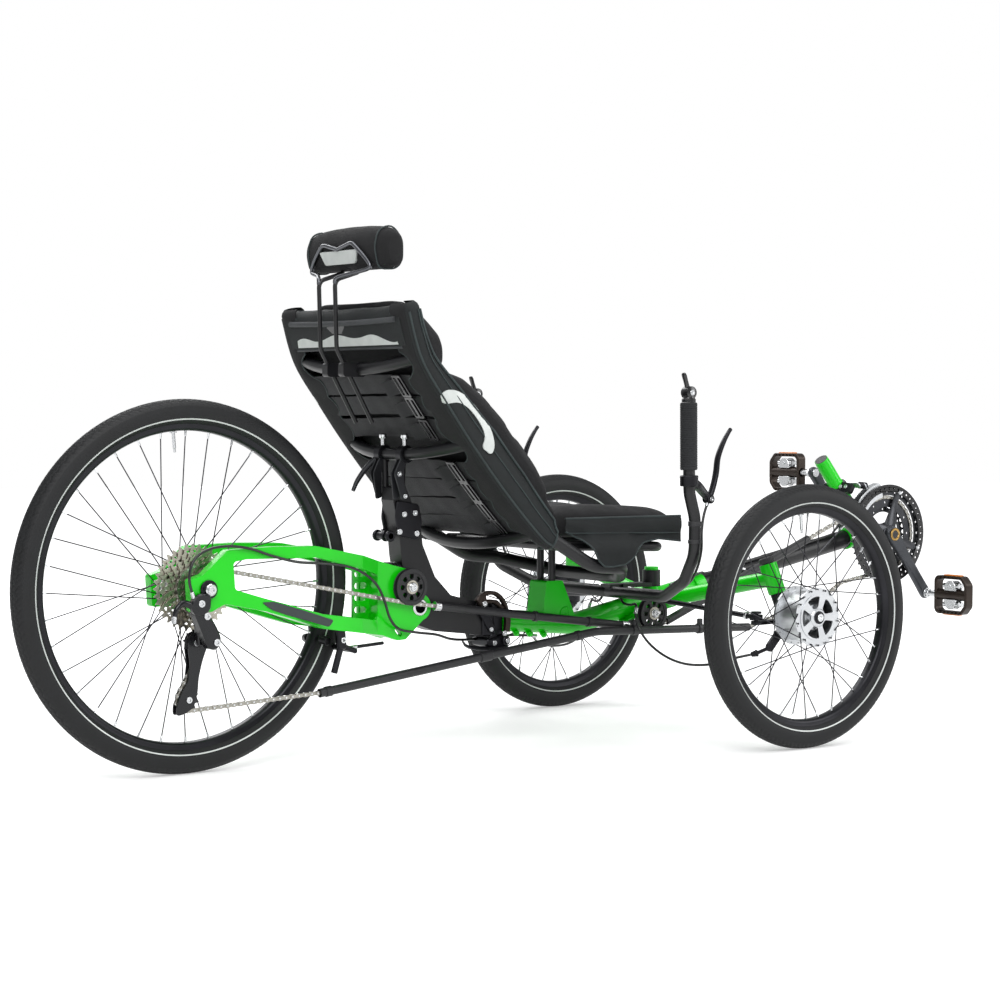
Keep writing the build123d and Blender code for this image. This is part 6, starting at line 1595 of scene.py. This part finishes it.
def crossingCable(name, route, side=1):
    # A cable between two bodies, held by neither of them.
    shape = newShape()
    line = routeLine(route, side, 8)
    addTube(shape, line, cockpit["cable"], 12)
    piece = placeShape(shape, name, cableJacket, None)
    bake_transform(piece)


for name, side in (("left", 1), ("right", -1)):
    knuckle = name + "_knuckle_body"
    grip, plug, lever, leverHead, clips, silver = (newShape() for i in range(6))
    foot, top = at(side * size["barX"], 251.5, size["gripLow"]), at(side * size["barX"], 253, size["gripHigh"])
    profile = [(0, 11.2), (0, 14.6), (1.6, 15.9)]
    for k in range(29):
        along = 3 + 4.1 * k
        profile += [(along, 16.0), (along + 2.6, 16.0), (along + 3.3, 15.3)]
    profile += [(121, 16.0), (123.4, 15.2), (124, 13), (124, 11.2)]
    addLathe(grip, foot, profile, top - foot, 40)
    placeShape(grip, name + "FoamGrip", foamRubber, "steering", [name + "_grip"])
    addLathe(plug, top, [(0.2, 0.5), (0.2, 13), (6, 13), (8, 11.4), (12, 10.6), (17, 10), (18, 9), (18, 0.5)],
             (0, 0, 1), 32)
    hub = top + Vector((0, 0, 18))
    addLathe(plug, hub, bothEnds([(-10.5, 0.5), (-10.5, 9), (-9, 11.6), (-2, 12)]), steps=32)
    tip = at(side * size["barX"], 266, 706)
    run = (tip - hub).normalized()
    over = stepX(1).cross(run)
    loops = []
    for share, half, thick in ((0.1, 5.6, 5.4), (0.35, 4.8, 4.4), (0.6, 5.4, 3.8), (0.85, 6.2, 3.6), (0.97, 5.2, 3.0),
                               (1.0, 3.0, 2)):
        loops.append(ovalLoop(hub + (tip - hub) * share, over, half, thick))
    addLoops(plug, loops)
    placeShape(plug, name + "BarEndLever", glossPlastic, "steering", [name + "_shifter"])
    for way in (side, -side):
        addBolt(silver, hub + stepX(way * 10.4), (way, 0, 0), 5.4, 1.2)

    leverX = size["leverX"]
    leverLine = curvedLine([at(side * leverX, d, z) for d, z in ((172, 470), (162, 492), (154, 520), (150, 548),
                                                                 (139, 573), (127, 592), (117, 604))], 4)
    loops = []
    for k, spot in enumerate(leverLine):
        share = k / (len(leverLine) - 1)
        ahead = leverLine[min(k + 1, len(leverLine) - 1)] - leverLine[max(k - 1, 0)]
        over = stepX(1).cross(ahead.normalized())
        half, thick = 7.0 + 1.6 * math.sin(math.pi * share) - 2.2 * share, 5.6 - 2.6 * share
        if share > 0.94:
            half, thick = half * 0.8, thick + 1.2
        loops.append(ovalLoop(spot, over, half, thick))
    addLoops(lever, loops)
    placeShape(lever, name + "BrakeLeverBlade", blackAnodised, "steering", [name + "_brake_lever"], smoothing=1)
    clampSpot = at(side * size["barX"], 250.6, 508)
    addLathe(leverHead, clampSpot, bothEnds([(-10, 11.2), (-10, 15.8), (-8.6, 17)]), (0, 0.01, 1), 40)
    headLine = [clampSpot + stepX(-side * 8), at(side * 322, 222, 500), at(side * 306, 192, 486),
                at(side * leverX, 174, 474)]
    addTube(leverHead, curvedLine(headLine, 5), [10.5 - 0.22 * k for k in range(16)], 16)
    addPin(leverHead, 172, 472, side * (leverX - 9), side * (leverX + 9), 8.4, 24, 1.2)
    placeShape(leverHead, name + "BrakeLeverBody", blackAnodised, "steering")
    for way in (1, -1):
        addBolt(silver, at(side * (leverX + way * 9), 172, 472), (side * way, 0, 0), 4.4, 1.6)
    placeShape(silver, name + "LeverPins", stainlessSteel, "steering")

    for low, high in ((424, 433), (392, 399)):
        addRod(clips, at(side * size["barX"], 236, low), at(side * size["barX"], 236, high), 12.3, 28, 0.6)
    placeShape(clips, name + "BarClips", nylonPlastic, "steering")
    laidCable(name + "BarCable", barRoute, "steering", ["bar_cable_" + name], side)
    laidCable(name + "BrakeCable", brakeRoute, "frame", [name + "_brake_cable"], side)
    crossingCable(name + "SteeringLoop", stemLoop, side)
    crossingCable(name + "KnuckleLoop", knuckleLoop, side)
    boot = newShape()
    bootFoot, bootEnd = at(side * 335, 92, 178.4), at(side * 339, 80, 181)
    addLathe(boot, bootFoot, [(-1, 2.6), (0, 4.2), (2, 5.4), (4, 4.6), (6, 6.2), (8, 5.2), (10, 6.8),
                              (12, 6.4), (13, 3.0)],
             bootEnd - bootFoot, 24)
    placeShape(boot, name + "BrakeBoot", foamRubber, knuckle)
    rodNuts = newShape()
    inner, outer = at(side * 12, 138, 275), at(side * 334, 80, 248)
    rodWay = (outer - inner).normalized()
    for spot, way in ((inner + rodWay * 21, rodWay), (outer - rodWay * 21, -rodWay)):
        addBolt(rodNuts, spot, way, 6.0, 5.0, 7.4)
    placeShape(rodNuts, name + "TieRodNuts", stainlessSteel, name + "_rod")
    capShape = newShape()
    lean, rake = (math.tan(math.radians(cockpit[key])) for key in ("kingpinLean", "kingpinRake"))
    head = at(side * (326 - lean * 104), rake * 104, 354)
    way = (head - at(side * (326 - lean * 40), rake * 40, 290)).normalized()
    addLathe(capShape, head, [(-7.5, 12.1), (-7.5, 14.4), (-6, 15), (1.5, 15), (3.4, 13.4), (4, 10),
                              (4, 0.5), (0.2, 0.5), (0.2, 12.1)], way, 36)
    placeShape(capShape, name + "KingpinCap", nylonPlastic, "frame")
laidCable("rearShiftCable", shiftRoute, "frame", ["rear_shift_cable"])
laidCable("boomCable", boomRoute, "frame", ["boom_cable"])
boomBands = newShape()
for distance in (-118, -250, -388):
    middle = at(0, distance, 270.6 - math.tan(math.radians(cockpit["boomSlope"])) * distance)
    addRod(boomBands, middle, middle + Vector((0, -7, 1.39)), 19.5, 40, 0.3)
placeShape(boomBands, "boomCableBands", nylonPlastic, "frame")
print("cockpit made")
